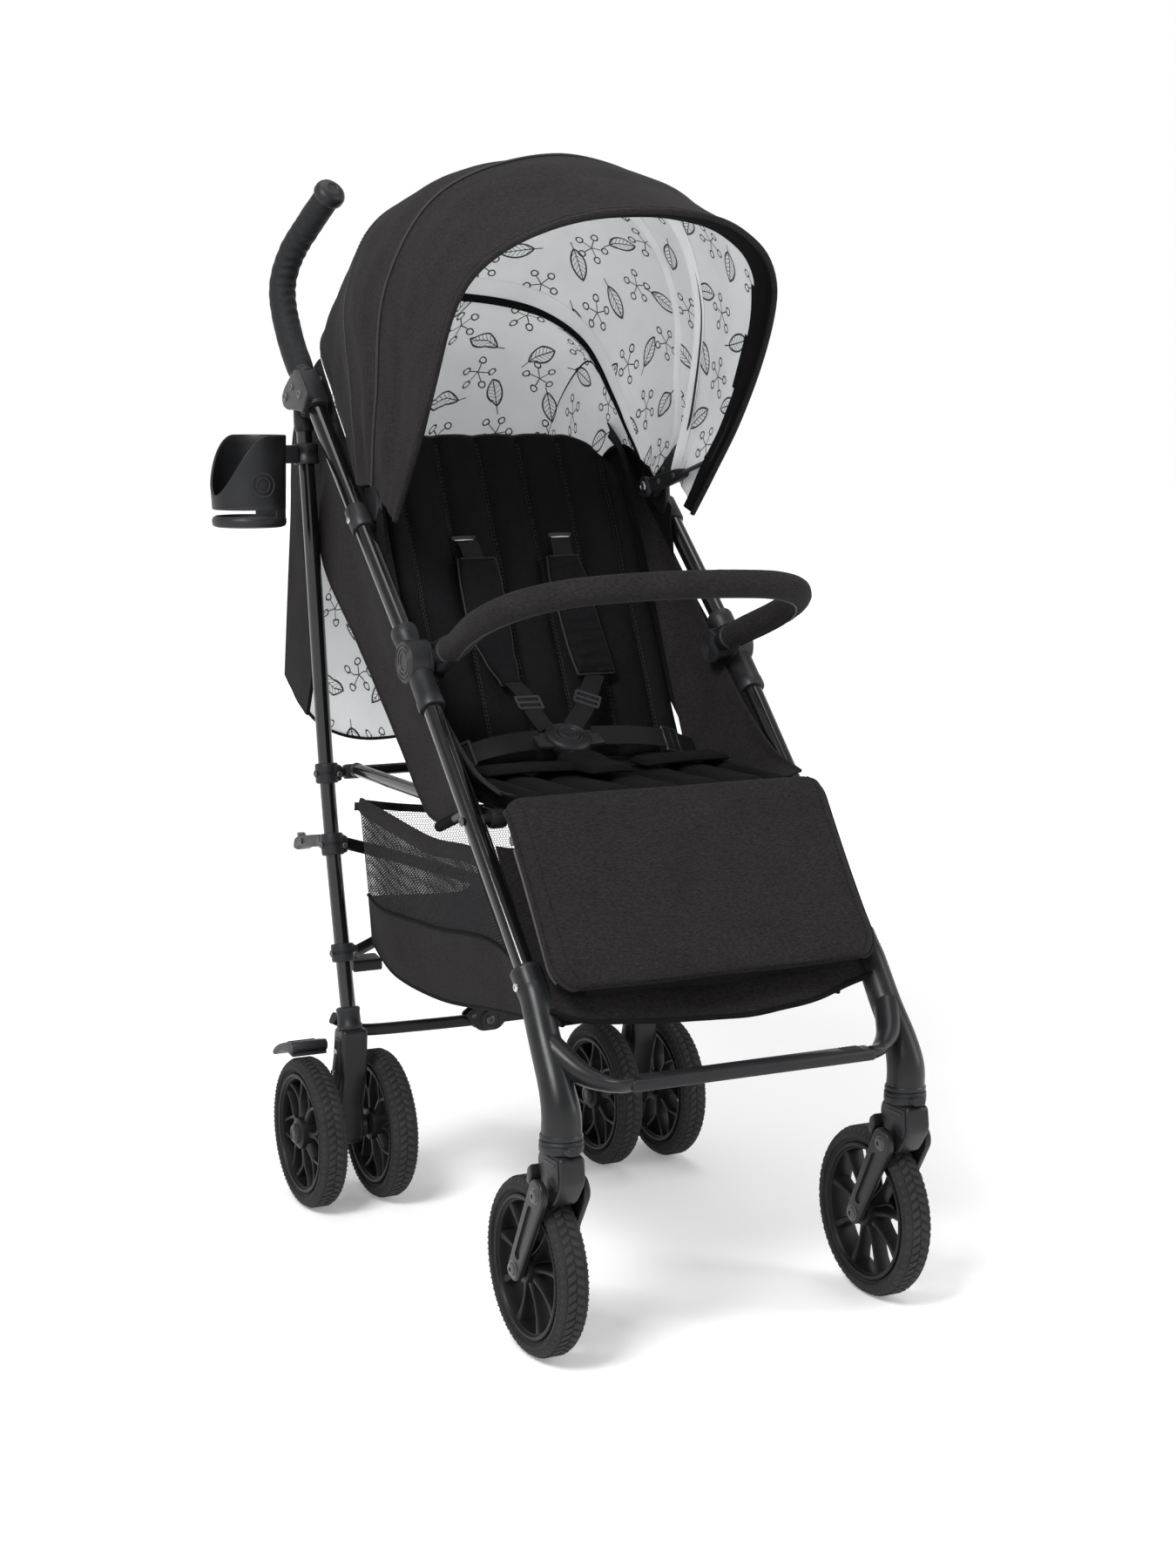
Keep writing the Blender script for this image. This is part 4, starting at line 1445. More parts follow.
for side, s in SIDES:
    # hinge block on the push tube, with its clamp band and pivot screw
    c = Vector((s * TUBE_X, 0.012, on_line(0.012)))
    ol = rounded([(c.y - 0.0160, c.z - 0.0030), (c.y - 0.0240, c.z + 0.0110), (-0.010, 0.789), (0.000, 0.795), (0.010, 0.789), (c.y + 0.0130, c.z + 0.0330), (c.y + 0.0160, c.z + 0.0155)], 0.005, 5)
    bm = bmesh.new()
    plate(bm, ol, s * 0.1662, s * 0.1722, 0.0014, steps=3)
    obj(f"hood_hinge_{side}_looks", bm, M_PLASTIC, "front_frame", "plastic_black", [f"hood_hinge_{side}"], angle=38)
    bm = bmesh.new()
    ring(bm, c, UP, [(0.0098, -0.0150), (0.0118, -0.0150), (0.0126, -0.0138), (0.0126, 0.0138), (0.0118, 0.0150), (0.0098, 0.0150)], 44)
    turned(bm, (s * 0.1440, *HOOD), (s, 0, 0), [(0.0100, 0), (0.0112, 0.0014), (0.0112, 0.0056), (0.0104, 0.0070), (0.0060, 0.0072), (0.0060, 0.0230)], 44)
    obj(f"hood_hinge_clamp_{side}", bm, M_PLASTIC, "front_frame", "plastic_black", angle=38)
    bm = bmesh.new()
    rivet(bm, (s * 0.1442, *HOOD), (-s, 0, 0), 0.0060, 0.0020)
    bolt(bm, c + Vector((s * 0.0124, 0, 0)), (s, 0, 0), 0.0036, 0.0016)
    obj(f"hood_hinge_screws_{side}", bm, M_STEEL, "front_frame", "bright_steel")
# small clip under the crown
bm = bmesh.new()
p = outward(hood_point(46, 1.97), -0.012)
for q in (-1, 1):
    plate(bm, rounded([(p.x + q * 0.001, p.z - 0.002), (p.x + q * 0.017, p.z - 0.007), (p.x + q * 0.018, p.z + 0.006), (p.x + q * 0.001, p.z + 0.002)], 0.002, 4), p.y - 0.0012, p.y + 0.0012, 0.0006, axis="y", steps=2)
turned(bm, p - Vector((0, 0.003, 0)), (0, 1, 0), [(0.0034, 0), (0.0042, 0.001), (0.0042, 0.005), (0.0034, 0.006)], 24)
hood_piece("hood_clip", bm, M_BLACK, "rear", "fabric_black")


# ---------------------------------------------------------------------- seat
BACK_LO, BACK_HI = (-0.093, 0.507), (0.068, 0.842)
BD = dirn(BACK_LO, BACK_HI)
BN = Vector((0, -BD.z, BD.y))
BL = hypot(BACK_HI[0] - BACK_LO[0], BACK_HI[1] - BACK_LO[1])


def crush(o):
    """The real cloth lies flat between the tubes when the frame is folded."""
    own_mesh(o)
    return o


def back(u, x=0.0, off=0.0):
    return Vector((x, mix(BACK_LO[0], BACK_HI[0], u), mix(BACK_LO[1], BACK_HI[1], u))) + BN * off


def roundish(d, r):
    k = min(1.0, max(0.0, d / r))
    return sqrt(max(0.0, 1 - (1 - k) ** 2))


def cushion(bm, S, N, nu, nv, front, rear, mats=(0, 0)):
    """Closed padded form: S(u, v) is its middle surface, N its face direction."""
    F, B = [], []
    for j in range(nv + 1):
        fr, br = [], []
        for i in range(nu + 1):
            u, v = i / nu, j / nv
            p, n = S(u, v), N(u, v)
            fr.append(bm.verts.new(p + n * front(u, v)))
            br.append(bm.verts.new(p - n * rear(u, v)))
        F.append(fr)
        B.append(br)
    for j in range(nv):
        for i in range(nu):
            f = bm.faces.new((F[j][i], F[j][i + 1], F[j + 1][i + 1], F[j + 1][i]))
            f.material_index = mats[0]
            f = bm.faces.new((B[j][i], B[j + 1][i], B[j + 1][i + 1], B[j][i + 1]))
            f.material_index = mats[1]
    for j in range(nv):
        for i in (0, nu):
            bm.faces.new((F[j][i], F[j + 1][i], B[j + 1][i], B[j][i]))
    for i in range(nu):
        for j in (0, nv):
            bm.faces.new((F[j][i], F[j][i + 1], B[j][i + 1], B[j][i]))


SEAMS = [-0.1215, -0.0729, -0.0243, 0.0243, 0.0729, 0.1215]


def channel(x, depth=0.62):
    """Height of the padding across the sewn channels, 1 in the middle of each."""
    edges = [-0.150] + SEAMS + [0.150]
    for a, b in zip(edges, edges[1:]):
        if a <= x <= b:
            t = (x - a) / (b - a) * 2 - 1
            return 1 - depth * abs(t) ** 3.2
    return 1 - depth


def back_hw(u):
    return 0.1475 * (1 if u < 0.84 else sqrt(max(0.0, 1 - ((u - 0.84) / 0.16) ** 2.6 * 0.42)))


def back_top(x):
    """The top edge dips between the channels and falls away at the corners."""
    return 1.0 + 0.010 * channel(x) - 0.055 * smooth((abs(x) - 0.075) / 0.07)


def back_S(u, v):
    hw = back_hw(v)
    x = mix(-hw, hw, u)
    vv = v * back_top(x)
    return back(vv, x + 0.0012 * noise.noise(Vector((v * 6, x * 9, 2))), -0.0115)


def back_front(u, v):
    hw = back_hw(v)
    x = mix(-hw, hw, u)
    d = min((u if u < 0.5 else 1 - u) * 2 * hw, (1 - v) * BL, v * BL + 0.004)
    ripple = sin(v * 150 + 3 * noise.noise(Vector((x * 25, v * 7, 0))) * 4) * 0.00035 * (1 - channel(x)) * 2.2
    lump = noise.noise(Vector((x * 18, v * 9, 5.5))) * 0.0011
    return roundish(d, 0.013) * (0.0118 * channel(x) + ripple + lump)


bm = bmesh.new()
cushion(bm, back_S, lambda u, v: BN, 168, 120, back_front, lambda u, v: roundish(min((u if u < 0.5 else 1 - u) * 0.29, (1 - v) * BL, v * BL + 0.004), 0.010) * 0.0105)
o = obj("backrest_pad_looks", bm, M_BLACK, "backrest", "fabric_black", ["backrest_pad"], angle=70)
crush(o)


def back_line(x, v0, v1, n=60, lift=0.0):
    out = []
    for k in range(n + 1):
        v = mix(v0, v1, k / n)
        u = (x / back_hw(v) + 1) / 2
        out.append(back_S(u, v) + BN * (back_front(u, v) + lift))
    return out


for i, x in enumerate(SEAMS):
    for q in (-0.0013, 0.0013):
        pts = back_line(x + q, 0.03, 0.975, lift=0.0003)
        o = stitches(f"backrest_stitch_{i}{'a' if q < 0 else 'b'}", pts, body="backrest", r=0.00045, mat=M_PIPE)
        crush(o)
# piping round the edge of the backrest
pts = []
for k in range(61):
    pts.append(back_S(0.0, k / 60))
for k in range(1, 61):
    pts.append(back_S(k / 60, 1.0))
for k in range(1, 61):
    pts.append(back_S(1.0, 1 - k / 60))
bm = bmesh.new()
sweep(bm, evenly(pts, 240), 0.0019, 10)
crush(obj("backrest_piping", bm, M_PIPE, "backrest", "fabric_black"))
# slots for the shoulder straps, edged with a bright tape
bm = bmesh.new()
b2 = bmesh.new()
for x in (-0.062, 0.050):
    for v, mat_bm in ((0.665, bm),):
        u = (x / back_hw(v) + 1) / 2
        p = back_S(u, v) + BN * (back_front(u, v))
        sweep(b2, [p + Vector((-0.0135, 0, 0)) + BD * 0.0022 + BN * 0.0006, p + BD * 0.0025 + BN * 0.0010, p + Vector((0.0135, 0, 0)) + BD * 0.0022 + BN * 0.0006], 0.0026, 10, 0.35)
        sweep(bm, [p + Vector((-0.0105, 0, 0)) + BN * 0.0010, p + BN * 0.0014, p + Vector((0.0105, 0, 0)) + BN * 0.0012], [0.0005, 0.0009, 0.0005], 8, 0.8)
crush(obj("strap_slot_tape", bm, M_REFLECT, "backrest", "webbing_black"))
crush(obj("strap_slot_edges", b2, M_PIPE, "backrest", "fabric_black"))

# seat cushion
def seat_S(u, v):
    hw = 0.1465
    x = mix(-hw, hw, u)
    y = mix(-0.100, -0.3165, v)
    return Vector((x, y, 0.4955 + 0.003 * v))


def seat_front(u, v):
    x = mix(-0.1465, 0.1465, u)
    d = min((u if u < 0.5 else 1 - u) * 0.293, (1 - v) * 0.2165 + 0.002, v * 0.2165 + 0.004)
    lump = noise.noise(Vector((x * 16, v * 5, 9.5))) * 0.0012
    dish = -0.0025 * sin(pi * u) * sin(pi * v)
    return roundish(d, 0.014) * (0.0135 * mix(1, channel(x, 0.5), 1.0) + lump + dish)


bm = bmesh.new()
cushion(bm, seat_S, lambda u, v: Vector((0, 0, 1)), 150, 90, seat_front, lambda u, v: roundish(min((u if u < 0.5 else 1 - u) * 0.29, (1 - v) * 0.21, v * 0.21), 0.010) * 0.0125)
o = obj("seat_cushion", bm, M_BLACK, "front_frame", "fabric_black", ["seat_liner"], angle=70)
crush(o)
for i, x in enumerate(SEAMS):
    u = (x / 0.1465 + 1) / 2
    pts = [seat_S(u, k / 40) + Vector((0, 0, seat_front(u, k / 40) + 0.0003)) for k in range(2, 39)]
    crush(stitches(f"seat_stitch_{i}", pts, body="front_frame", r=0.00045, mat=M_PIPE))

# side panels: one part on the seat, one that follows the backrest
EDGE_A1 = [(0.1475, -0.3050, 0.5055), (0.1475, -0.250, 0.5050), (0.1475, -0.180, 0.5045), (0.1475, -0.0960, 0.5060)]
EDGE_B1 = [(0.1655, -0.3020, 0.5110), (0.1670, -0.2450, 0.5250), (0.1690, -0.185, 0.5620), (0.1700, -0.1290, 0.6090)]
EDGE_A2 = [(0.1475, -0.0960, 0.5060), (0.1490, -0.0650, 0.565), (0.1490, -0.0300, 0.640), (0.1480, 0.0120, 0.728), (0.1440, 0.0520, 0.812), (0.1330, 0.0640, 0.838)]
EDGE_B2 = [(0.1700, -0.1290, 0.6090), (0.1700, -0.0800, 0.658), (0.1700, -0.0200, 0.7130), (0.1700, 0.0450, 0.772), (0.1690, 0.1100, 0.8320), (0.1660, 0.1380, 0.8560)]


def panel_rows(A, B, s, n, m, bulge, seed):
    a, b = evenly(catmull(A, 10), n), evenly(catmull(B, 10), n)
    rows = []
    for j in range(m + 1):
        t = j / m
        row = []
        for i in range(n + 1):
            p = a[i].lerp(b[i], t)
            w = noise.noise(Vector((i * 0.10, t * 2.0, seed))) * 0.0030 + noise.noise(Vector((i * 0.30, t * 1.0, seed + 5))) * 0.0014
            p.x += (bulge + w) * sin(pi * t)
            p.x *= s
            row.append(p)
        rows.append(row)
    return rows


for side, s in SIDES:
    for part, A, B, n, bul in (("seat", EDGE_A1, EDGE_B1, 44, 0.0030), ("back", EDGE_A2, EDGE_B2, 80, 0.0040)):
        rows = panel_rows(A, B, s, n, 14, bul, 3 + s + n)
        if s > 0:
            rows = [r[::-1] for r in rows]
        bm = bmesh.new()
        sheet_grid(bm, rows, 0.0018, mats=(0, 1, 0))
        body = "front_frame" if part == "seat" else None
        o = obj(f"side_panel_{part}_{side}", bm, [M_BLACK, M_CHAR], body, "fabric_black", angle=60)
        if part == "back":
            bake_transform(o)
        else:
            crush(o)
        top = rows[-1]
        bm = bmesh.new()
        sweep(bm, top, 0.0022, 10)
        o = obj(f"side_piping_{part}_{side}", bm, M_CHAR, "front_frame", "fabric_charcoal")
        crush(o)
    # outer apron of charcoal cloth that hangs from the push tube beside the seat
    top = evenly(catmull([(s * 0.1722, -0.2500, 0.5060), (s * 0.1722, -0.1350, 0.6160), (s * 0.1722, -0.040, 0.694), (s * 0.1722, 0.060, 0.782), (s * 0.1700, 0.146, 0.856)], 10), 60)
    low = evenly(catmull([(s * 0.1690, -0.2450, 0.4930), (s * 0.1675, -0.2150, 0.4765), (s * 0.1665, -0.1300, 0.4680), (s * 0.1670, -0.0540, 0.5306), (s * 0.1685, 0.0656, 0.6249), (s * 0.1690, 0.1560, 0.7000), (s * 0.1680, 0.1640, 0.7700)], 10), 60)
    rows = []
    for j in range(17):
        t = j / 16
        row = []
        for i in range(61):
            p = top[i].lerp(low[i], t)
            w = noise.noise(Vector((i * 0.09, t * 1.6, 21 + s))) * 0.0045 + noise.noise(Vector((i * 0.24 - t * 2, t * 2, 31 + s))) * 0.0018
            p.x += s * (w * sin(pi * t * 0.9) - 0.004 * sin(pi * t))
            p.z -= 0.004 * sin(pi * i / 60 * 2) * t
            row.append(p)
        rows.append(row)
    if s < 0:
        rows = [r[::-1] for r in rows]
    bm = bmesh.new()
    sheet_grid(bm, rows, 0.0016, mats=(0, 1, 0))
    o = obj(f"side_apron_{side}", bm, [M_CHAR, M_BLACK], "front_frame", "fabric_charcoal", angle=60)
    crush(o)
    # gusset between the panel's top edge and the hood, and the wall beside the calf rest
    for nm, A, B, keep in (("gusset", [(0.1695, -0.0250, 0.7110), (0.1700, 0.0450, 0.773), (0.1690, 0.1100, 0.8330)], [(0.1700, -0.0180, 0.7640), (0.1705, 0.0300, 0.8000), (0.1698, 0.0600, 0.8200), (0.1690, 0.1150, 0.8800)], 0.2),
                           ("footwell", [(0.1705, -0.2560, 0.4990), (0.1715, -0.3300, 0.4230), (0.1715, -0.4020, 0.3480)], [(0.1655, -0.2120, 0.4690), (0.1650, -0.2750, 0.3950), (0.1640, -0.3560, 0.3200)], 0.2)):
        a_, b_ = evenly(catmull(A, 10), 30), evenly(catmull(B, 10), 30)
        grid = []
        for j in range(11):
            t = j / 10
            row = []
            for i in range(31):
                p = a_[i].lerp(b_[i], t)
                p.x += (noise.noise(Vector((i * 0.16, t * 2.2, 41 + s))) * 0.0030 - 0.0012) * sin(pi * t)
                p.x *= s
                row.append(p)
            grid.append(row)
        if s > 0:
            grid = [r[::-1] for r in grid]
        bm = bmesh.new()
        sheet_grid(bm, grid, 0.0014, mats=(0, 0, 0))
        o = obj(f"side_{nm}_{side}", bm, M_BLACK, "front_frame", "fabric_black", angle=60)
        crush(o)
    bm = bmesh.new()
    sweep(bm, rows[-1], 0.0016, 8)
    crush(obj(f"side_apron_hem_{side}", bm, M_CHAR, "front_frame", "fabric_charcoal"))

# -------------------------------------------------------------------- calf rest
CALF_FACE = [(-0.3120, 0.5060), (-0.3200, 0.5095), (-0.3310, 0.5080), (-0.3430, 0.4995), (-0.3530, 0.4865), (-0.3970, 0.4260), (-0.4450, 0.3600), (-0.4495, 0.3510)]
_cf = evenly([Vector((0, y, z)) for y, z in [tuple(p)[:2] for p in catmull([V(a, b, 0) for a, b in CALF_FACE], 10)]], 110)
_cn = []
for i in range(len(_cf)):
    t = (_cf[min(i + 1, len(_cf) - 1)] - _cf[max(i - 1, 0)]).normalized()
    _cn.append(Vector((0, t.z, -t.y)))
for i in range(len(_cn)):
    if _cn[i].z < 0 and i < 60:
        _cn[i] = -_cn[i]
if _cn[60].y > 0:
    _cn = [-n for n in _cn]
CALF_L = sum((b - a).length for a, b in zip(_cf, _cf[1:]))


def calf_hw(v):
    """Half width of the pad, with its lower corners rounded off."""
    d = (1 - v) * CALF_L
    r = 0.032
    cut_ = r - sqrt(max(0.0, r * r - (r - d) ** 2)) if d < r else 0.0
    return mix(0.1600, 0.1735, smooth(v / 0.09)) - cut_ - 0.002 * sin(pi * v)


def calf_S(u, v):
    k = v * 110
    a = min(109, int(k))
    p = _cf[a].lerp(_cf[a + 1], k - a)
    n = _cn[a].lerp(_cn[a + 1], k - a).normalized()
    hw = calf_hw(v)
    x = mix(-hw, hw, u)
    q = p - n * (0.0120 - 0.0022 * sin(u * 14 + 0.6) * smooth((v - 0.7) / 0.3))
    q.x = x
    return q


def calf_N(u, v):
    k = v * 110
    a = min(109, int(k))
    return _cn[a].lerp(_cn[a + 1], k - a).normalized()


def calf_front(u, v):
    hw = calf_hw(v)
    x = mix(-hw, hw, u)
    d = min((u if u < 0.5 else 1 - u) * 2 * hw, (1 - v) * CALF_L, v * CALF_L + 0.002)
    lump = noise.noise(Vector((x * 9, v * 5, 2.5))) * 0.0016 + noise.noise(Vector((x * 26, v * 13, 7.5))) * 0.0006
    crown = 0.0020 * sin(pi * u) * sin(pi * v)
    return roundish(d, 0.016) * (0.0108 + crown + lump) + 0.0006


bm = bmesh.new()
cushion(bm, calf_S, calf_N, 132, 110, calf_front, lambda u, v: roundish(min((u if u < 0.5 else 1 - u) * 0.34, (1 - v) * CALF_L, v * CALF_L), 0.012) * 0.0100 + 0.0006)
o = obj("calf_pad_looks", bm, M_CHAR, "calf_rest", "fabric_charcoal", ["calf_pad"], angle=70)
crush(o)
loop = [calf_S(0, k / 60) for k in range(61)] + [calf_S(k / 40, 1) for k in range(1, 41)] + [calf_S(1, 1 - k / 60) for k in range(1, 61)]
bm = bmesh.new()
sweep(bm, evenly([p + Vector((0, -0.0012, 0)) for p in loop], 260), 0.0026, 12)
crush(obj("calf_piping", bm, M_CHAR, "calf_rest", "fabric_charcoal"))
pts = [calf_S(0.035, k / 60) + calf_N(0, k / 60) * (calf_front(0.035, k / 60) + 0.0003) for k in range(4, 59)]
crush(stitches("calf_stitch_right", pts, body="calf_rest", r=0.0004, mat=M_CHAR_IN))
pts = [calf_S(0.965, k / 60) + calf_N(0, k / 60) * (calf_front(0.965, k / 60) + 0.0003) for k in range(4, 59)]
crush(stitches("calf_stitch_left", pts, body="calf_rest", r=0.0004, mat=M_CHAR_IN))
# black underside strip, snaps and a row of zip teeth along the edge
for side, s in SIDES:
    u = 0.0 if s < 0 else 1.0
    bm = bmesh.new()
    for k in range(92):
        v = mix(0.30, 0.93, k / 91)
        p = calf_S(u, v) - calf_N(u, v) * 0.0058
        t = (calf_S(u, v + 0.01) - calf_S(u, v - 0.01)).normalized()
        sweep(bm, [p - calf_N(u, v) * 0.0016 + Vector((s * 0.0006, 0, 0)), p + calf_N(u, v) * 0.0016 + Vector((s * 0.0006, 0, 0))], 0.0007, 6)
    crush(obj(f"calf_zip_{side}", bm, M_DARKSTEEL, "calf_rest", "plastic_black"))
    bm = bmesh.new()
    rivet(bm, calf_S(u, 0.26) - calf_N(u, 0.26) * 0.003 + Vector((s * 0.0008, 0, 0)), (s, 0, 0), 0.0052, 0.0018)
    crush(obj(f"calf_snap_{side}", bm, M_DARKSTEEL, "calf_rest", "bright_steel"))
bm = bmesh.new()
rows = []
for j in range(7):
    t = j / 6
    row = []
    for k in range(61):
        u = k / 60
        p = calf_S(mix(0.012, 0.988, u), 1.0) - calf_N(u, 1.0) * mix(0.004, 0.013, t)
        p.z -= 0.024 * t + 0.0030 * sin(pi * u) * t
        p.y += 0.004 * t + noise.noise(Vector((u * 9, t * 2, 4))) * 0.0016
        row.append(p)
    rows.append(row)
sheet_grid(bm, rows, 0.0016, mats=(0, 0, 0))
o = obj("calf_lower_strip", bm, M_BLACK, "calf_rest", "fabric_black", angle=60)
crush(o)


# -------------------------------------------------------------------- harness
def strap(name, path, width, body, across=(1, 0, 0), thick=0.0012, mat=None, slot="webbing_black", n=None, folds=0.0):
    """Flat webbing along a path; across is the width direction."""
    pts = evenly(path, n or max(16, int(len(path) * 4)))
    fr = frames(pts)
    rows = []
    for i, (p, t, nn, b) in enumerate(fr):
        w = Vector(across)
        w = (w - t * w.dot(t)).normalized()
        nrm = t.cross(w).normalized()
        row = []
        for k in range(9):
            q = (k / 8 - 0.5)
            row.append(p + w * (q * width) + nrm * (folds * sin(i * 0.9 + q * 3) + 0.0004 * (1 - (2 * q) ** 2)))
        rows.append(row)
    bm = bmesh.new()
    sheet_grid(bm, rows, thick, mats=(0, 0, 0))
    return obj(name, bm, mat or M_WEB, body, slot, angle=50)


def on_back(x, v, lift=0.0):
    u = (x / back_hw(v) + 1) / 2
    return back_S(u, v) + BN * (back_front(u, v) + lift)


BUCKLE = Vector((-0.020, -0.149, 0.5360))
TILT = Vector((0, -0.42, 0.907)).normalized()
_, BU, BW = basis(TILT)


def shoulder_pad(name, path, widths, seed, replaces=(), gathered=False):
    pts = evenly(path, 90)
    total = sum((b - a).length for a, b in zip(pts, pts[1:]))
    L = len(pts) - 1

    def w_at(v):
        k = v * (len(widths) - 1)
        a = min(len(widths) - 2, int(k))
        return mix(widths[a], widths[a + 1], smooth(k - a))

    def S(u, v):
        k = v * L
        a = min(L - 1, int(k))
        p = pts[a].lerp(pts[a + 1], k - a)
        return p + Vector((mix(-1, 1, u) * w_at(v), 0, 0))

    def front(u, v):
        d = min((u if u < 0.5 else 1 - u) * 2 * w_at(v), (1 - v) * total, v * total)
        g = 0.0
        if gathered:
            g = sin(v * 62 + 2.4 * noise.noise(Vector((u * 2, v * 6, seed))) + u * 1.2) * 0.0013 * sin(pi * u) ** 0.5
        return roundish(d, 0.0065) * (0.0048 + g + 0.0008 * noise.noise(Vector((u * 3, v * 9, seed)))) + 0.0004

    bm = bmesh.new()
    cushion(bm, S, lambda u, v: BN, 40, 110, front, lambda u, v: roundish(min((u if u < 0.5 else 1 - u) * 0.04, (1 - v) * total, v * total), 0.005) * 0.0022 + 0.0004)
    o = obj(name, bm, M_BLACK, "backrest", "fabric_black", replaces, angle=70)
    crush(o)
    loop = [S(0, k / 40) for k in range(41)] + [S(k / 12, 1) for k in range(1, 13)] + [S(1, 1 - k / 40) for k in range(1, 41)] + [S(1 - k / 12, 0) for k in range(1, 12)]
    bm = bmesh.new()
    sweep(bm, evenly(loop, 150), 0.0013, 8)
    crush(obj(name + "_piping", bm, M_PIPE, "backrest", "fabric_black"))


shoulder_pad("shoulder_pad_right", catmull([on_back(-0.056, 0.600, 0.0065), on_back(-0.057, 0.47, 0.0085), on_back(-0.056, 0.34, 0.0095), on_back(-0.046, 0.215, 0.0110)], 8),
             [0.0215, 0.0235, 0.0235, 0.0225, 0.0170, 0.0105], 3.0, ["shoulder_harness"])
shoulder_pad("shoulder_pad_left", catmull([on_back(0.045, 0.600, 0.0065), on_back(0.047, 0.47, 0.0085), on_back(0.050, 0.34, 0.0095), on_back(0.054, 0.235, 0.0115)], 8),
             [0.0180, 0.0215, 0.0215, 0.0220, 0.0225, 0.0215], 7.0, gathered=True)
for nm, xs, xe, sx in (("right", -0.060, -0.046, -1), ("left", 0.050, 0.054, 1)):
    o = strap(f"shoulder_strap_top_{nm}", [on_back(xs, 0.664, 0.0008), on_back(xs * 0.97, 0.645, 0.0030), on_back(xs * 0.95, 0.585, 0.0068)], 0.0235, "backrest", n=18)
    crush(o)
    a = on_back(xe, 0.235, 0.0095)
    e = BUCKLE + BU * (0.0) + Vector((sx * 0.014, 0.020, 0.0090))
    path = catmull([a, a.lerp(e, 0.35) + BN * 0.006, a.lerp(e, 0.7) + Vector((sx * 0.004, -0.004, 0.003)), e], 12)
    bm_s = strap(f"shoulder_strap_{nm}", path, 0.0200, None, n=44)
    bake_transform(bm_s)
    # slide adjuster on the strap
    m = path[len(path) // 2]
    d = (path[len(path) // 2 + 2] - path[len(path) // 2 - 2]).normalized()
    w = Vector((1, 0, 0))
    w = (w - d * w.dot(d)).normalized()
    bm = bmesh.new()
    for k in (-1, 0, 1):
        c = m + d * k * 0.0085
        sweep(bm, [c - w * 0.0135, c + w * 0.0135], 0.0016, 10)
    for k in (-1, 1):
        sweep(bm, [m - d * 0.0085 + w * k * 0.0130, m + d * 0.0085 + w * k * 0.0130], 0.0016, 10)
    o = obj(f"shoulder_adjuster_{nm}", bm, M_PLASTIC, None, "plastic_black")
    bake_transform(o)

# waist straps with their flat pads, and the crotch strap with its pad
for side, s in SIDES:
    a = Vector((s * 0.1445, -0.118, 0.5125))
    e = BUCKLE + Vector((s * 0.030, 0.002, 0.0010))
    path = catmull([a, a.lerp(e, 0.30) + Vector((0, -0.006, 0.0065)), a.lerp(e, 0.65) + Vector((0, -0.006, 0.0060)), e], 14)
    o = strap(f"waist_strap_{side}", path, 0.0225, "front_frame", across=(0, 0.62, 0.78), n=60)
    if s < 0:
        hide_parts("lap_harness")
    crush(o)
    # adjuster: frame with a bar
    t = 0.30 if s > 0 else 0.22
    m = path[int(len(path) * t)]
    d = (path[int(len(path) * t) + 2] - path[int(len(path) * t) - 2]).normalized()
    w = Vector((0, 0.62, 0.78))
    w = (w - d * w.dot(d)).normalized()
    nn = d.cross(w).normalized()
    bm = bmesh.new()
    for k in (-1, 0, 1):
        c = m + d * k * 0.0105 + nn * 0.0006
        sweep(bm, [c - w * 0.0140, c + w * 0.0140], 0.0018, 10)
    for k in (-1, 1):
        sweep(bm, [m - d * 0.0115 + w * k * 0.0138, m + d * 0.0115 + w * k * 0.0138], 0.0018, 10)
    crush(obj(f"waist_adjuster_{side}", bm, M_PLASTIC, "front_frame", "plastic_black"))
    # waist pad lying on the seat
    bm = bmesh.new()
    c0 = Vector((s * 0.085, -0.196, 0.5140))

    def S(u, v, c0=c0, s=s):
        return c0 + Vector((mix(-0.052, 0.052, u), mix(-0.019, 0.019, v) + s * 0.010 * (u - 0.5), 0.0016 * sin(pi * u)))

    cushion(bm, S, lambda u, v: Vector((0, 0, 1)), 48, 20, lambda u, v: roundish(min(min(u, 1 - u) * 0.104, min(v, 1 - v) * 0.038), 0.008) * 0.0048 + 0.0003,
            lambda u, v: roundish(min(min(u, 1 - u) * 0.104, min(v, 1 - v) * 0.038), 0.006) * 0.0022 + 0.0003)
    o = obj(f"waist_pad_{side}", bm, M_BLACK, "front_frame", "fabric_black", angle=70)
    crush(o)
bm = bmesh.new()


def crotch_S(u, v):
    hw = 0.0265 * mix(0.62, 1.0, smooth(v / 0.25)) * mix(1.0, 0.86, smooth((v - 0.7) / 0.3))
    return Vector((-0.020 + mix(-hw, hw, u), mix(-0.158, -0.252, v), 0.5205 - 0.0050 * smooth(v / 0.5) + 0.0010 * sin(pi * u)))


cushion(bm, crotch_S, lambda u, v: Vector((0, 0, 1)), 36, 56, lambda u, v: roundish(min(min(u, 1 - u) * 0.052, min(v, 1 - v) * 0.094), 0.008) * 0.0052 + 0.0004,
        lambda u, v: roundish(min(min(u, 1 - u) * 0.052, min(v, 1 - v) * 0.094), 0.006) * 0.0022 + 0.0003)
o = obj("crotch_pad", bm, M_BLACK, "front_frame", "fabric_black", angle=70)
crush(o)

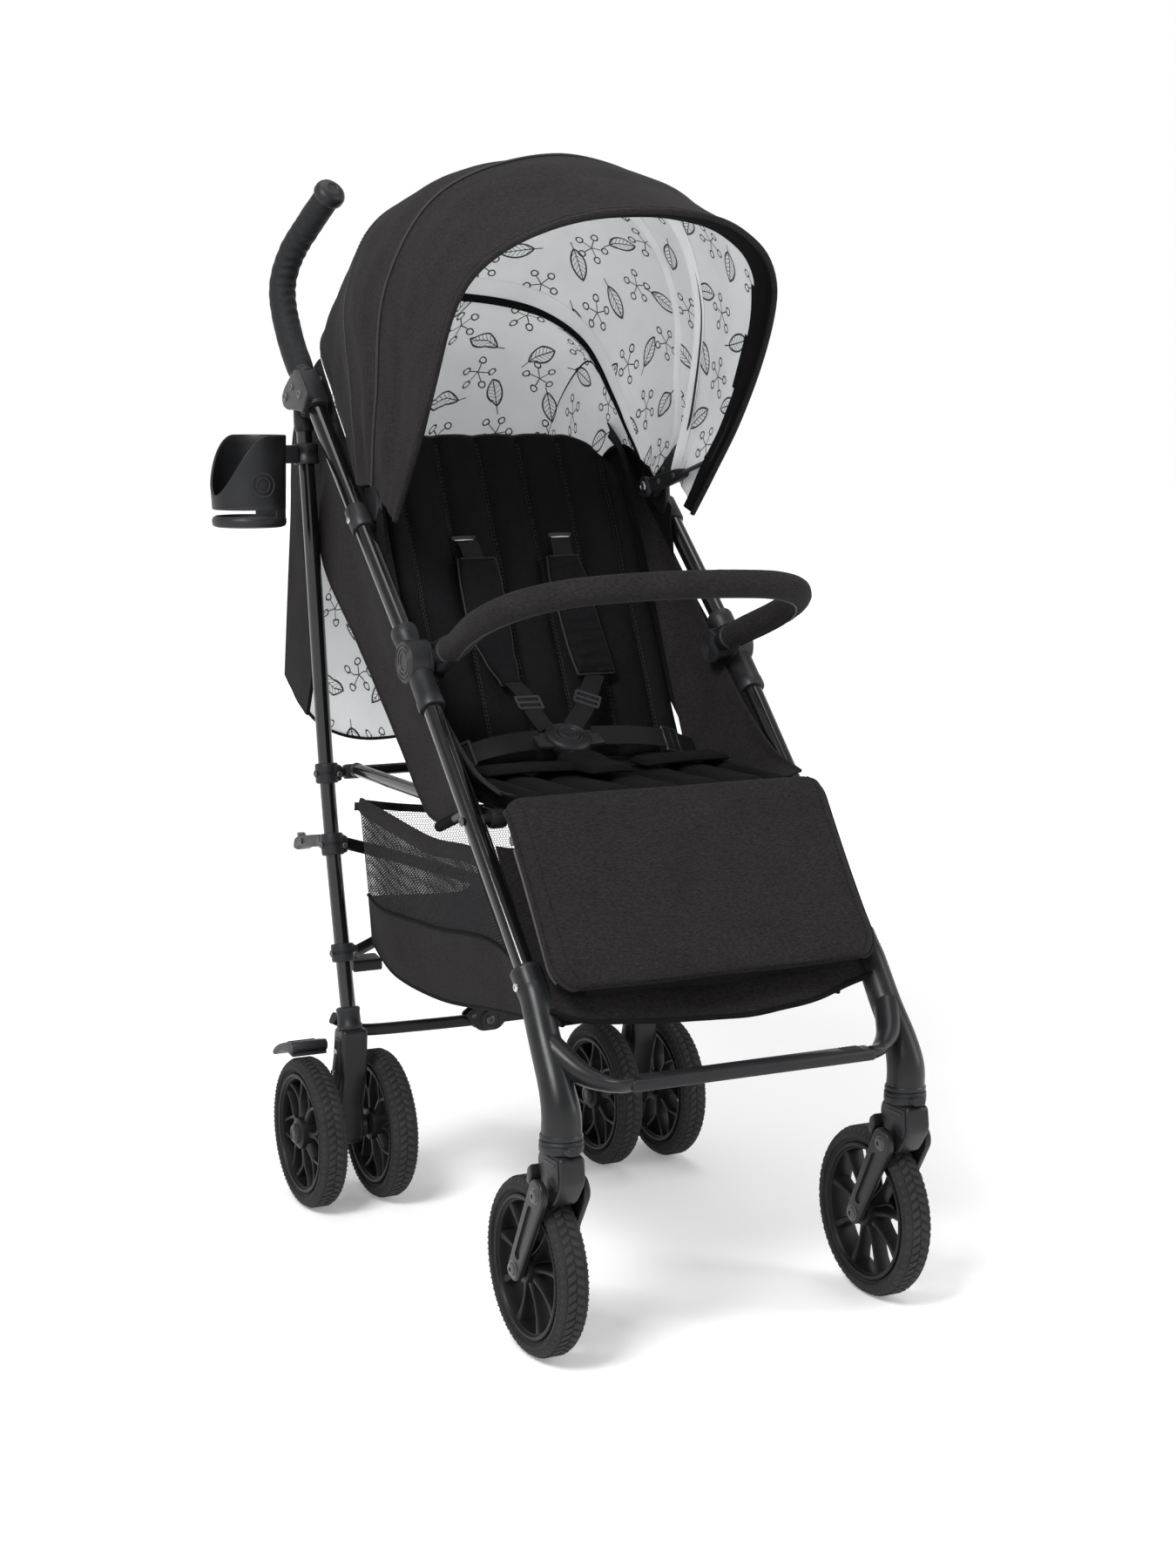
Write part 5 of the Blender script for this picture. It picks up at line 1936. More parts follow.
# buckle: domed disc with rings, a tongue at each side, a lug below and the push button
bm = bmesh.new()
prof = [(0, -0.0080), (0.0205, -0.0080), (0.0236, -0.0066), (0.0250, -0.0040), (0.0252, -0.0005), (0.0246, 0.0026), (0.0232, 0.0046), (0.0206, 0.0058), (0.0198, 0.0052), (0.0190, 0.0056),
        (0.0168, 0.0064), (0.0160, 0.0058), (0.0152, 0.0062), (0.0130, 0.0067), (0.0124, 0.0060), (0.0124, 0.0020), (0, 0.0020)]
turned(bm, BUCKLE, TILT, prof, 72)
obj("buckle_looks", bm, M_PLASTIC, "front_frame", "plastic_black", ["buckle"], angle=34)
bm = bmesh.new()
for s in (-1, 1):
    x0, x1 = s * 0.0195, s * 0.0375
    for k, (w0, w1) in enumerate(((0.0135, 0.0115),)):
        c0, c1 = BUCKLE + Vector((x0, 0, 0)) - TILT * 0.001, BUCKLE + Vector((x1, 0, 0)) - TILT * 0.001
        yv = Vector((0, 0.907, 0.42)).normalized()
        vs = []
        for c, w in ((c0, w0), (c1, w1)):
            for a, b in ((-1, -1), (1, -1), (1, 1), (-1, 1)):
                vs.append(bm.verts.new(c + yv * (a * w) + TILT * (b * 0.0028)))
        for f in ((0, 3, 2, 1), (4, 5, 6, 7), (0, 1, 5, 4), (1, 2, 6, 5), (2, 3, 7, 6), (3, 0, 4, 7)):
            bm.faces.new([vs[i] for i in f])
o = obj("buckle_tongues", bm, M_PLASTIC, "front_frame", "plastic_black")
bevelled(o, 0.0016, 3)
bm = bmesh.new()
yv = Vector((0, 0.907, 0.42)).normalized()
vs = []
for a, w, h in ((-0.0215, 0.0062, 0.0026), (-0.0330, 0.0036, 0.0022)):
    for x, b in ((-1, -1), (1, -1), (1, 1), (-1, 1)):
        vs.append(bm.verts.new(BUCKLE + Vector((-0.003, 0, 0)) + yv * a + Vector((x * w, 0, 0)) + TILT * (b * h - 0.002)))
for f in ((0, 3, 2, 1), (4, 5, 6, 7), (0, 1, 5, 4), (1, 2, 6, 5), (2, 3, 7, 6), (3, 0, 4, 7)):
    bm.faces.new([vs[i] for i in f])
o = obj("buckle_lug", bm, M_BRACKET, "front_frame", "bracket_grey")
bevelled(o, 0.0012, 3)
bm = bmesh.new()
prof = [(0, 0.0030), (0.0116, 0.0030), (0.0119, 0.0040), (0.0119, 0.0062), (0.0113, 0.0072), (0.0096, 0.0078), (0.0090, 0.0073), (0.0084, 0.0077), (0.0060, 0.0076), (0.0030, 0.0070), (0, 0.0068)]
turned(bm, BUCKLE, TILT, prof, 56)
obj("buckle_button_looks", bm, M_PLASTIC, "buckle_button", "plastic_black", ["buckle_button"], angle=34)

# --------------------------------------------------------------------- bumper
BT = radians(21)
BH = [(0.1613, 0.066), (0.1668, 0.105), (0.1680, 0.140), (0.1600, 0.178), (0.1400, 0.208), (0.1050, 0.228), (0.0550, 0.237), (0.0, 0.240)]
half = [(x, KNUCKLE[0] - r * cos(BT), KNUCKLE[1] + r * sin(BT)) for x, r in BH]
ctl = [(0.1600, KNUCKLE[0] - 0.030 * cos(BT), KNUCKLE[1] + 0.030 * sin(BT))] + half
full = catmull([(-x, y, z) for x, y, z in ctl] + [(x, y, z) for x, y, z in ctl[-2::-1]], 14)
full = evenly(full, 300)
bm = bmesh.new()
fr = frames(full)
rings = []
N_ = len(fr) - 1
for i, (p, t, n, b) in enumerate(fr):
    u = i / N_
    endt = min(u, 1 - u) * N_ / 300 * 0.86
    r = 0.0135 * mix(0.86, 1.0, smooth(min(u, 1 - u) / 0.03))
    row = []
    for k in range(36):
        a = 2 * pi * k / 36
        d = n * cos(a) + b * sin(a)
        curve = max(0.0, 1 - abs(abs(u - 0.5) - 0.27) / 0.10)
        wr = noise.noise(Vector((u * 70, cos(a) * 1.2, sin(a) * 1.2))) * 0.00035 * (0.5 + curve) + sin(u * 700 + 2 * cos(a)) * 0.00012 * curve
        row.append(bm.verts.new(p + d * (r + wr)))
    rings.append(row)
for A, B in zip(rings, rings[1:]):
    for k in range(36):
        bm.faces.new((A[k], A[(k + 1) % 36], B[(k + 1) % 36], B[k]))
bm.faces.new(rings[0][::-1])
bm.faces.new(rings[-1])
o = obj("bumper_cover", bm, M_CHAR, "bumper", "fabric_charcoal", ["bumper_bar"], angle=60)
# seam and zip on the underside of the cover
und = []
for p, t, n, b in fr[10:-10]:
    d = Vector((0, 0.25, -1))
    d = (d - t * d.dot(t)).normalized()
    und.append(p + d * 0.0136)
bm = bmesh.new()
sweep(bm, und, 0.0012, 8)
obj("bumper_seam", bm, M_PIPE, "bumper", "fabric_charcoal")
for side, s in SIDES:
    bm = bmesh.new()
    out = arc(KNUCKLE, 0.0190, -70, 100, 20) + [(-0.165, 0.6490), (-0.1900, 0.6550), (-0.1900, 0.6340), (-0.165, 0.6150)]
    plate(bm, rounded(out, 0.003, 3), s * 0.1545, s * 0.1672, 0.0022, steps=4)
    obj(f"bumper_lug_{side}", bm, M_PLASTIC, "bumper", "plastic_black", angle=38)
    bm = bmesh.new()
    # ribbed boss facing the child's side
    for k in range(7):
        ring(bm, (s * (0.1538 - 0.0012 * 0), *KNUCKLE), (-s, 0, 0), [(0.0040 + k * 0.0020, 0.0), (0.0050 + k * 0.0020, 0.0), (0.0050 + k * 0.0020, 0.0013), (0.0040 + k * 0.0020, 0.0013)], 44)
    turned(bm, (s * 0.1560, *KNUCKLE), (-s, 0, 0), [(0.0180, 0), (0.0180, 0.0018), (0.0170, 0.0024)], 48)
    obj(f"bumper_boss_{side}", bm, M_PLASTIC, "bumper", "plastic_black")
    # collar where the cover meets the lug
    bm = bmesh.new()
    c = Vector((s * 0.1600, KNUCKLE[0] - 0.036 * cos(BT), KNUCKLE[1] + 0.036 * sin(BT)))
    d = Vector((0, -cos(BT), sin(BT)))
    turned(bm, c - d * 0.018, d, [(0.0095, 0), (0.0112, 0.001), (0.0120, 0.010), (0.0134, 0.0125), (0.0138, 0.0185), (0.0126, 0.0200)], 44)
    obj(f"bumper_collar_{side}", bm, M_PLASTIC, "bumper", "plastic_black")


# ------------------------------------------------------------------ rear frame
for side, s in SIDES:
    lx = s * (TUBE_X - 0.002)
    ctl = [(lx, PIVOT[0] + 0.0002, PIVOT[1] + 0.0020), (lx, PIVOT[0] - 0.0016, PIVOT[1] - 0.0240), (lx, 0.168, 0.772), (lx, 0.150, 0.640), (lx, 0.131, 0.500), (lx, 0.112, 0.395), (lx, 0.088, 0.290), (lx, 0.0675, 0.2040)]
    leg = evenly(catmull(ctl, 10), 90)
    bm = bmesh.new()
    sweep(bm, leg, LEG_R, 44)
    obj(f"rear_leg_{side}_looks", bm, M_TUBE, "rear_frame", "tube_black", [f"rear_leg_{side}"])
    # moulded head that turns on the bracket's pin
    bm = bmesh.new()
    turned(bm, Vector((s * 0.1720, *PIVOT)), (s, 0, 0), [(0.0090, 0), (0.0108, 0.0014), (0.0112, 0.0040), (0.0112, 0.0120), (0.0108, 0.0146), (0.0090, 0.0160)], 44)
    turned(bm, Vector((lx, *PIVOT)) + Vector((0, -0.003, -0.030)), Vector((0, 0.10, 1)), [(0.0088, -0.008), (0.0104, -0.006), (0.0108, 0.002), (0.0104, 0.022), (0.0094, 0.026)], 40)
    obj(f"rear_leg_head_{side}", bm, M_PLASTIC, "rear_frame", "plastic_black", angle=38)
    # clamps with their ears and screws
    bm = bmesh.new()
    bs = bmesh.new()
    for yy, zz, hh in ((0.1265, 0.474, 0.011), (0.1125, 0.397, 0.012), (0.0855, 0.281, 0.010)):
        ax = Vector((0, 0.13 if zz > 0.45 else 0.23, 1)).normalized()
        c = Vector((lx, yy, zz))
        prof = [(0.0092, -hh), (0.0112, -hh), (0.0124, -hh + 0.0010), (0.0127, -hh + 0.0024), (0.0127, -0.0016), (0.0121, -0.0009), (0.0121, 0.0009), (0.0127, 0.0016), (0.0127, hh - 0.0024), (0.0124, hh - 0.0010), (0.0112, hh), (0.0092, hh)]
        turned(bm, c, ax, prof, 44, caps=False)
        e = c + Vector((-s * 0.0100, 0, 0))
        plate(bm, rounded([(e.y - 0.0080, e.z - hh * 0.8), (e.y + 0.0080, e.z - hh * 0.8), (e.y + 0.0080, e.z + hh * 0.8), (e.y - 0.0080, e.z + hh * 0.8)], 0.003, 4), lx - s * 0.0070, lx - s * 0.0150, 0.0020, steps=3)
        bolt(bs, c + Vector((s * 0.0124, 0, 0)), (s, 0, 0), 0.0040, 0.0022)
        bolt(bs, c + Vector((-s * 0.0100, -0.0124, 0)), (0, -1, 0), 0.0030, 0.0016)
    obj(f"rear_clamps_{side}", bm, M_PLASTIC, "rear_frame", "plastic_black", angle=38)
    obj(f"rear_clamp_bolts_{side}", bs, M_DARKSTEEL, "rear_frame", "bright_steel")
    # wheel housing: tall tapered block between the twin wheels, with a raised collar and ribs
    hs = [(0.0515, 0.2007), (0.0800, 0.2007), (0.0850, 0.170), (0.0985, 0.130), (0.1080, 0.095)] + arc(REAR_AXLE, 0.0190, 20, -180, 16) + [(0.0670, 0.110), (0.0560, 0.150)]
    bm = bmesh.new()
    plate(bm, rounded(hs, 0.006, 5), s * HOUSING_X - 0.0150, s * HOUSING_X + 0.0150, 0.0045, steps=6)
    obj(f"rear_housing_{side}_looks", bm, M_SATIN, "rear_frame", "plastic_black", [f"rear_housing_{side}"], angle=42)
    bm = bmesh.new()
    ax = Vector((0, 0.24, 1)).normalized()
    turned(bm, Vector((lx, 0.0672, 0.1980)), ax, [(0.0126, 0), (0.0138, 0.0012), (0.0140, 0.0060), (0.0128, 0.0078), (0.0126, 0.0200), (0.0132, 0.0212), (0.0132, 0.0240), (0.0110, 0.0256), (0.0090, 0.0256)], 44)
    ring(bm, (s * HOUSING_X, *REAR_AXLE), (1, 0, 0), [(0.0045, -0.0230), (0.0120, -0.0230), (0.0132, -0.0215), (0.0140, -0.0150), (0.0140, 0.0150), (0.0132, 0.0215), (0.0120, 0.0230), (0.0045, 0.0230)], 52)
    for q in (-1, 1):
        fp = rounded([(0.0600, 0.1900), (0.0760, 0.1900), (0.0800, 0.1640), (0.0910, 0.1300), (0.0960, 0.1120), (0.0800, 0.1120), (0.0700, 0.1280), (0.0620, 0.1560)], 0.004, 5)
        plate(bm, fp, s * HOUSING_X + q * 0.0146, s * HOUSING_X + q * 0.0161, 0.0007, steps=2)
    obj(f"rear_housing_collar_{side}", bm, M_PLASTIC, "rear_frame", "plastic_black", angle=38)
    bm = bmesh.new()
    turned(bm, (s * 0.1190, *REAR_AXLE), (s, 0, 0), [(0.0040, 0), (0.0040, 0.1196)], 28)
    bolt(bm, (s * (HOUSING_X + 0.0160), 0.0830, 0.1480), (s, 0, 0), 0.0034, 0.0016)
    bolt(bm, (s * (HOUSING_X + 0.0160), 0.0720, 0.1740), (s, 0, 0), 0.0034, 0.0016)
    obj(f"rear_axle_{side}", bm, M_STEEL, "rear_frame", "bright_steel")
    # brake pedal: tread with ribs, over the outer wheel
    xp0, xp1 = s * 0.1945, s * 0.2360
    ped = [(0.1000, 0.1660), (0.1180, 0.1675), (0.1400, 0.1635), (0.1600, 0.1550), (0.1625, 0.1600), (0.1480, 0.1690), (0.1260, 0.1765), (0.1060, 0.1810)]
    ped = [tuple(p)[:2] for p in catmull([V(a, b, 0) for a, b in ped], 4)]
    bm = bmesh.new()
    plate(bm, ped, xp0, xp1, 0.0016, steps=4)
    for k in range(6):
        y = 0.126 + k * 0.0056
        z = 0.1768 - (y - 0.126) * 0.42
        plate(bm, [(y - 0.0009, z - 0.0020), (y + 0.0009, z - 0.0024), (y + 0.0009, z + 0.0006), (y - 0.0009, z + 0.0010)], xp0 + s * 0.005, xp1 - s * 0.005, 0.0004, steps=1)
    turned(bm, (s * 0.1945, 0.104, 0.1755), (s, 0, 0), [(0.0058, 0.0), (0.0062, 0.001), (0.0062, 0.0400), (0.0054, 0.0412)], 32)
    obj(f"brake_pedal_{side}_looks", bm, M_PLASTIC, f"brake_{side}", "plastic_black", [f"brake_pedal_{side}"], angle=38)

# upper brace with its hinged sleeves
bm = bmesh.new()
sweep(bm, evenly([V(-0.1669, 0.1265, 0.474), V(0.1669, 0.1265, 0.474)], 40), 0.0060, 36)
obj("rear_cross_brace_looks", bm, M_TUBE, "rear_frame", "tube_black", ["rear_cross_brace"])
bm = bmesh.new()
for x in (-0.150, 0.150):
    turned(bm, (x - 0.010, 0.1265, 0.474), (1, 0, 0), [(0.0062, 0), (0.0078, 0.0006), (0.0082, 0.003), (0.0082, 0.017), (0.0078, 0.0194), (0.0062, 0.020)], 36)
obj("rear_cross_sleeves", bm, M_PLASTIC, "rear_frame", "plastic_black")
# crossed flat tubes
for nm, pts in (("a", [(-0.1652, 0.0845, 0.2810), (-0.10, 0.0905, 0.3050), (0.0, 0.0975, 0.3405), (0.10, 0.1060, 0.3760), (0.1652, 0.1115, 0.3970)]),
                ("b", [(-0.1652, 0.1135, 0.3970), (-0.10, 0.1100, 0.3760), (0.0, 0.1035, 0.3405), (0.10, 0.0945, 0.3050), (0.1652, 0.0865, 0.2810)])):
    bm = bmesh.new()
    sweep(bm, evenly(catmull(pts, 10), 60), 0.0068, 32, 0.42, ref=Vector((0, 0, 1)))
    o = obj(f"x_frame_{nm}", bm, M_TUBE, "rear_frame", "tube_black", ["x_frame"] if nm == "a" else (), angle=50)
bm = bmesh.new()
turned(bm, (0, 0.0880, 0.3405), (0, 1, 0), [(0.0078, 0), (0.0098, 0.0010), (0.0100, 0.0040), (0.0100, 0.0200), (0.0098, 0.0230), (0.0078, 0.0240)], 44)
obj("x_frame_joint", bm, M_PLASTIC, "rear_frame", "plastic_black")
bm = bmesh.new()
rivet(bm, (0, 0.0882, 0.3405), (0, -1, 0), 0.0050, 0.0018)
rivet(bm, (0, 0.1118, 0.3405), (0, 1, 0), 0.0050, 0.0018)
obj("x_frame_rivets", bm, M_DARKSTEEL, "rear_frame", "bright_steel")
# lower brace: two flat links that meet under a triangular gusset
lp = [(-0.1900, 0.0925, 0.2070), (-0.170, 0.0985, 0.1960), (-0.150, 0.1020, 0.1872), (-0.085, 0.1045, 0.1840), (0.0, 0.1045, 0.1830), (0.085, 0.1045, 0.1840), (0.150, 0.1020, 0.1872), (0.170, 0.0985, 0.1960), (0.1900, 0.0925, 0.2070)]
bm = bmesh.new()
sweep(bm, evenly(catmull(lp, 12), 120), 0.0066, 32, 0.74, ref=Vector((0, 0, 1)), power=3.2)
obj("lower_brace_looks", bm, M_SATIN, "rear_frame", "plastic_black", ["lower_brace"], angle=50)
bm = bmesh.new()
tri = rounded([(-0.030, 0.1900), (-0.011, 0.2020), (0.011, 0.2020), (0.030, 0.1900), (0.012, 0.1705), (-0.012, 0.1705)], 0.007, 6)
plate(bm, tri, 0.0955, 0.0995, 0.0014, axis="y", steps=3)
plate(bm, tri, 0.1095, 0.1130, 0.0014, axis="y", steps=3)
turned(bm, (0, 0.0935, 0.1840), (0, 1, 0), [(0.0098, 0), (0.0112, 0.0012), (0.0112, 0.0190), (0.0098, 0.0204)], 44)
obj("lower_brace_gusset", bm, M_PLASTIC, "rear_frame", "plastic_black", angle=38)
bm = bmesh.new()
bolt(bm, (0, 0.0936, 0.1840), (0, -1, 0), 0.0052, 0.0022)
for q in (-1, 1):
    bolt(bm, (q * 0.0195, 0.0956, 0.1900), (0, -1, 0), 0.0028, 0.0014)
obj("lower_brace_bolts", bm, M_DARKSTEEL, "rear_frame", "bright_steel")

# fold lever: bar with a block and a hexagon bolt at its tip
bm = bmesh.new()
fl = [(0.1278, 0.3925), (0.1278, 0.4035), (0.1500, 0.4020), (0.1800, 0.3970), (0.2040, 0.3925), (0.2150, 0.3880), (0.2180, 0.3760), (0.2050, 0.3760), (0.1940, 0.3800), (0.1700, 0.3850)]
plate(bm, rounded(fl, 0.004, 5), -0.1880, -0.1720, 0.0022, steps=4)
turned(bm, (-0.1890, 0.1320, 0.3980), (1, 0, 0), [(0.0060, 0), (0.0072, 0.0008), (0.0072, 0.0172), (0.0060, 0.0180)], 36)
obj("fold_lever_looks", bm, M_PLASTIC, "fold_lever", "plastic_black", ["fold_lever"], angle=38)
bm = bmesh.new()
turned(bm, (-0.1800, 0.2110, 0.3905), (0, 0, 1), [(0.0046, 0), (0.0050, 0.0006), (0.0050, 0.0034), (0.0042, 0.0042)], 6)
bolt(bm, (-0.1884, 0.1900, 0.3890), (-1, 0, 0), 0.0036, 0.0016)
obj("fold_lever_bolts", bm, M_DARKSTEEL, "fold_lever", "bright_steel")
bm = bmesh.new()
plate(bm, rounded([(0.0990, 0.2530), (0.0990, 0.2660), (0.1200, 0.2690), (0.1480, 0.2610), (0.1490, 0.2560), (0.1200, 0.2590)], 0.003, 5), -0.1620, -0.1280, 0.0018, steps=4)
for k in range(5):
    y = 0.1255 + k * 0.0046
    z = 0.2676 - (y - 0.1200) * 0.285
    plate(bm, [(y - 0.0008, z - 0.001), (y + 0.0008, z - 0.001), (y + 0.0008, z + 0.0012), (y - 0.0008, z + 0.0014)], -0.1585, -0.1315, 0.0004, steps=1)
obj("lock_pedal_looks", bm, M_PLASTIC, "lock_pedal", "plastic_black", ["lock_pedal"], angle=38)

# seat side tubes
for side, s in SIDES:
    bm = bmesh.new()
    sweep(bm, evenly([V(s * SEAT_TUBE_X, SEAT_HINGE[0] - 0.008, SEAT_HINGE[1] - 0.0003), V(s * SEAT_TUBE_X, 0.098, 0.480)], 30), SEAT_TUBE_R, 36)
    obj(f"seat_side_tube_{side}_looks", bm, M_TUBE, "seat_frame", "tube_black", [f"seat_side_tube_{side}"])
    bm = bmesh.new()
    turned(bm, (s * 0.1480, *SEAT_HINGE), (s, 0, 0), [(0.0070, 0), (0.0090, 0.0008), (0.0096, 0.0030), (0.0096, 0.0130), (0.0090, 0.0160), (0.0052, 0.0162), (0.0052, 0.0230)], 40)
    turned(bm, (s * SEAT_TUBE_X, 0.092, 0.4800), (0, 1, -0.006), [(0.0068, 0), (0.0078, 0.0006), (0.0078, 0.0066), (0.0066, 0.0080), (0, 0.0084)], 32)
    obj(f"seat_tube_ends_{side}", bm, M_PLASTIC, "seat_frame", "plastic_black", angle=38)
    bm = bmesh.new()
    bolt(bm, (s * 0.1926, -0.272, 0.4815), (s, 0, 0), 0.0046, 0.0022)
    obj(f"leg_bolt_{side}", bm, M_DARKSTEEL, "front_frame", "bright_steel")

# ---------------------------------------------------------------- cup holder
CUP = Vector((-0.2745, 0.094, 0))
h0, h1, R = 0.747, 0.843, 0.0403
NS = 96


def mouth(a):
    """Height of the cup's mouth: high towards the frame, scooped out on the outer front."""
    off = (a - 3.29 + pi) % (2 * pi) - pi
    return h1 - 0.062 * (cos(off * 0.947) ** 2 if abs(off) < 1.658 else 0.0)


def cup_ring(r, zf):
    return [CUP + Vector((r * cos(2 * pi * k / NS), r * sin(2 * pi * k / NS), zf(2 * pi * k / NS))) for k in range(NS)]


# wall with a rolled lip
rows = [cup_ring(mix(R - 0.0003, 0.0386, t), lambda a, t=t: mix(mouth(a) - 0.0016, 0.7660, t)) for t in [k / 12 for k in range(13)]]
rows += [cup_ring(0.0372, lambda a: 0.7656), cup_ring(0.0358, lambda a: 0.7660)]
rows += [cup_ring(mix(0.0358, R - 0.0032, t), lambda a, t=t: mix(0.7660, mouth(a) - 0.0016, t)) for t in [k / 12 for k in range(1, 13)]]
rows += [cup_ring(R - 0.0026, lambda a: mouth(a) - 0.0002), cup_ring(R - 0.0014, lambda a: mouth(a)), cup_ring(R - 0.0004, lambda a: mouth(a) - 0.0006)]
bm = bmesh.new()
vr = [[bm.verts.new(p) for p in r] for r in rows]
for A, B in zip(vr, vr[1:] + vr[:1]):
    for k in range(NS):
        j = (k + 1) % NS
        bm.faces.new((A[k], A[j], B[j], B[k]))
obj("cup_holder_looks", bm, M_PLASTIC, "rear_frame", "plastic_black", ["cup_holder"], angle=40)
# base dish, and the part of the wall that joins it to the cup
bm = bmesh.new()
turned(bm, CUP + Vector((0, 0, h0)), (0, 0, 1), [(0.0340, 0), (0.0378, 0.0014), (0.0390, 0.0044), (0.0390, 0.0082), (0.0378, 0.0108), (0.0356, 0.0120), (0.0352, 0.0105), (0.0352, 0.0030)], 72)
out, inn = [], []
for k in range(25):
    a = radians(mix(-60, 60, k / 24))
    out.append((0.0384 * cos(a), 0.0384 * sin(a)))
    inn.append((0.0354 * cos(a), 0.0354 * sin(a)))
loop = [(CUP.x + x, CUP.y + y) for x, y in out + inn[::-1]]
lo = [bm.verts.new((x, y, 0.7560)) for x, y in loop]
hi = [bm.verts.new((x, y, 0.7680)) for x, y in loop]
for k in range(len(loop)):
    j = (k + 1) % len(loop)
    bm.faces.new((lo[k], lo[j], hi[j], hi[k]))
for A, B in ((0, 49),):
    for k in range(24):
        bm.faces.new((lo[k], lo[49 - k], lo[48 - k], lo[k + 1]))
        bm.faces.new((hi[k], hi[k + 1], hi[48 - k], hi[49 - k]))
obj("cup_holder_base", bm, M_PLASTIC, "rear_frame", "plastic_black", angle=40)
# plain rings on the cup's front, drain slots and a base ring
bm = bmesh.new()
fa = -1.52
fd = Vector((cos(fa), sin(fa), 0))
ring(bm, CUP + Vector((0, 0, 0.792)) + fd * (R - 0.0016), fd, [(0.0118, -0.0014), (0.0130, -0.0014), (0.0130, 0.0012), (0.0118, 0.0012)], 60)
ring(bm, CUP + Vector((0, 0, 0.792)) + fd * (R - 0.0016), fd, [(0.0070, -0.0010), (0.0080, -0.0010), (0.0080, 0.0018), (0.0070, 0.0018)], 44)
obj("cup_holder_rings", bm, M_SATIN, "rear_frame", "plastic_black")
bm = bmesh.new()
arm = rounded([(0.1060, 0.8095), (0.1060, 0.8305), (0.1640, 0.8320), (0.1850, 0.8320), (0.1850, 0.8100), (0.1640, 0.8095)], 0.004, 5)
plate(bm, arm, -0.2385, -0.2310, 0.0016, steps=3)
plate(bm, rounded([(0.1640, 0.8105), (0.1860, 0.8105), (0.1860, 0.8300), (0.1640, 0.8300)], 0.003, 4), -0.2350, -0.1920, 0.0020, steps=3)
ax = Vector((0, 0.125, 1)).normalized()
c = Vector((-0.180, 0.1760, 0.820))
ring(bm, c, ax, [(0.0088, -0.0112), (0.0124, -0.0112), (0.0138, -0.0098), (0.0140, -0.0040), (0.0134, -0.0030), (0.0134, 0.0030), (0.0140, 0.0040), (0.0138, 0.0098), (0.0124, 0.0112), (0.0088, 0.0112)], 52)
obj("cup_holder_clip", bm, M_PLASTIC, "rear_frame", "plastic_black", angle=38)
bm = bmesh.new()
bolt(bm, (-0.2386, 0.1750, 0.8205), (-1, 0, 0), 0.0036, 0.0014)
bolt(bm, (-0.2386, 0.1300, 0.8205), (-1, 0, 0), 0.0030, 0.0012)
obj("cup_holder_screws", bm, M_DARKSTEEL, "rear_frame", "bright_steel")


# ------------------------------------------------------------- rear curtain
CURT = [(0.186, 0.930, 0.219, 0.980, 0.160), (0.262, 0.850, 0.290, 0.868, 0.159), (0.286, 0.740, 0.345, 0.735, 0.157), (0.308, 0.640, 0.385, 0.600, 0.155), (0.330, 0.552, 0.402, 0.458, 0.152)]
WINGS = [(0.088, 0.832), (0.130, 0.812), (0.192, 0.732), (0.200, 0.620), (0.240, 0.518)]
NX, NR, NW = 64, 54, 9


def curtain_key(r, k):
    """Point of the curtain's key row r at column k; the outer NW columns are its side wings."""
    on_arch = Vector(ARCH[round(k / NX * (len(ARCH) - 1))]) + Vector((0, 0.0010, -0.0040))
    if r == 0:
        return on_arch
    ys, zs, yc, zc, hw = CURT[r - 1]
    if NW <= k <= NX - NW:
        a = -1 + 2 * (k - NW) / (NX - 2 * NW)
        e = 1 - abs(a) ** 2.6
        p = Vector((hw * a, mix(ys, yc, e), mix(zs, zc, e)))
    else:
        s_ = -1 if k < NW else 1
        w = (NW - k if k < NW else k - NX + NW) / NW
        p = Vector((s_ * mix(hw, 0.1605, w), mix(ys, WINGS[r - 1][0], w), mix(zs, WINGS[r - 1][1], w)))
    return p.lerp(on_arch, 0.20) if r == 1 else p


cols = []
for k in range(NX + 1):
    keys = [curtain_key(r, k) for r in range(6)]
    cols.append(evenly(catmull(keys, 12), NR + 1))
rows = []
for j in range(NR + 1):
    row = []
    v = j / NR
    for k in range(NX + 1):
        a = (-1 + 2 * (k - NW) / (NX - 2 * NW))
        p = cols[k][j].copy()
        edge = smooth((1 - abs(a)) / 0.12) * smooth(v / 0.06) if abs(a) < 1 else 0.0
        if abs(a) > 1:
            p.x += (0.0022 * noise.noise(Vector((a * 6, v * 7, 9.1))) + 0.0012 * sin(v * 17 + a * 5)) * sin(pi * min(1.0, (abs(a) - 1) / 0.39)) * smooth(v / 0.1)
        fold = 0.0030 * sin(a * 9.0 + 3.0 * sin(v * 3.2)) * smooth((v - 0.15) / 0.5)
        fine = 0.0024 * noise.noise(Vector((a * 2.6, v * 5.0, 4.2)))
        hang = 0.0016 * sin(v * 21 + a * 3) * smooth((v - 0.72) / 0.2)
        p.y += (fold + fine + hang) * edge
        row.append(p)
    rows.append(row)
CURTAIN = rows

bm = bmesh.new()
sheet_grid(bm, rows, 0.0018, mats=(0, 1, 2))
cur = obj("rear_curtain_looks", bm, [M_PRINT, M_CHAR, M_BLACK], "front_frame", "fabric_charcoal", ["rear_curtain"], recalc=False)
crush(cur)
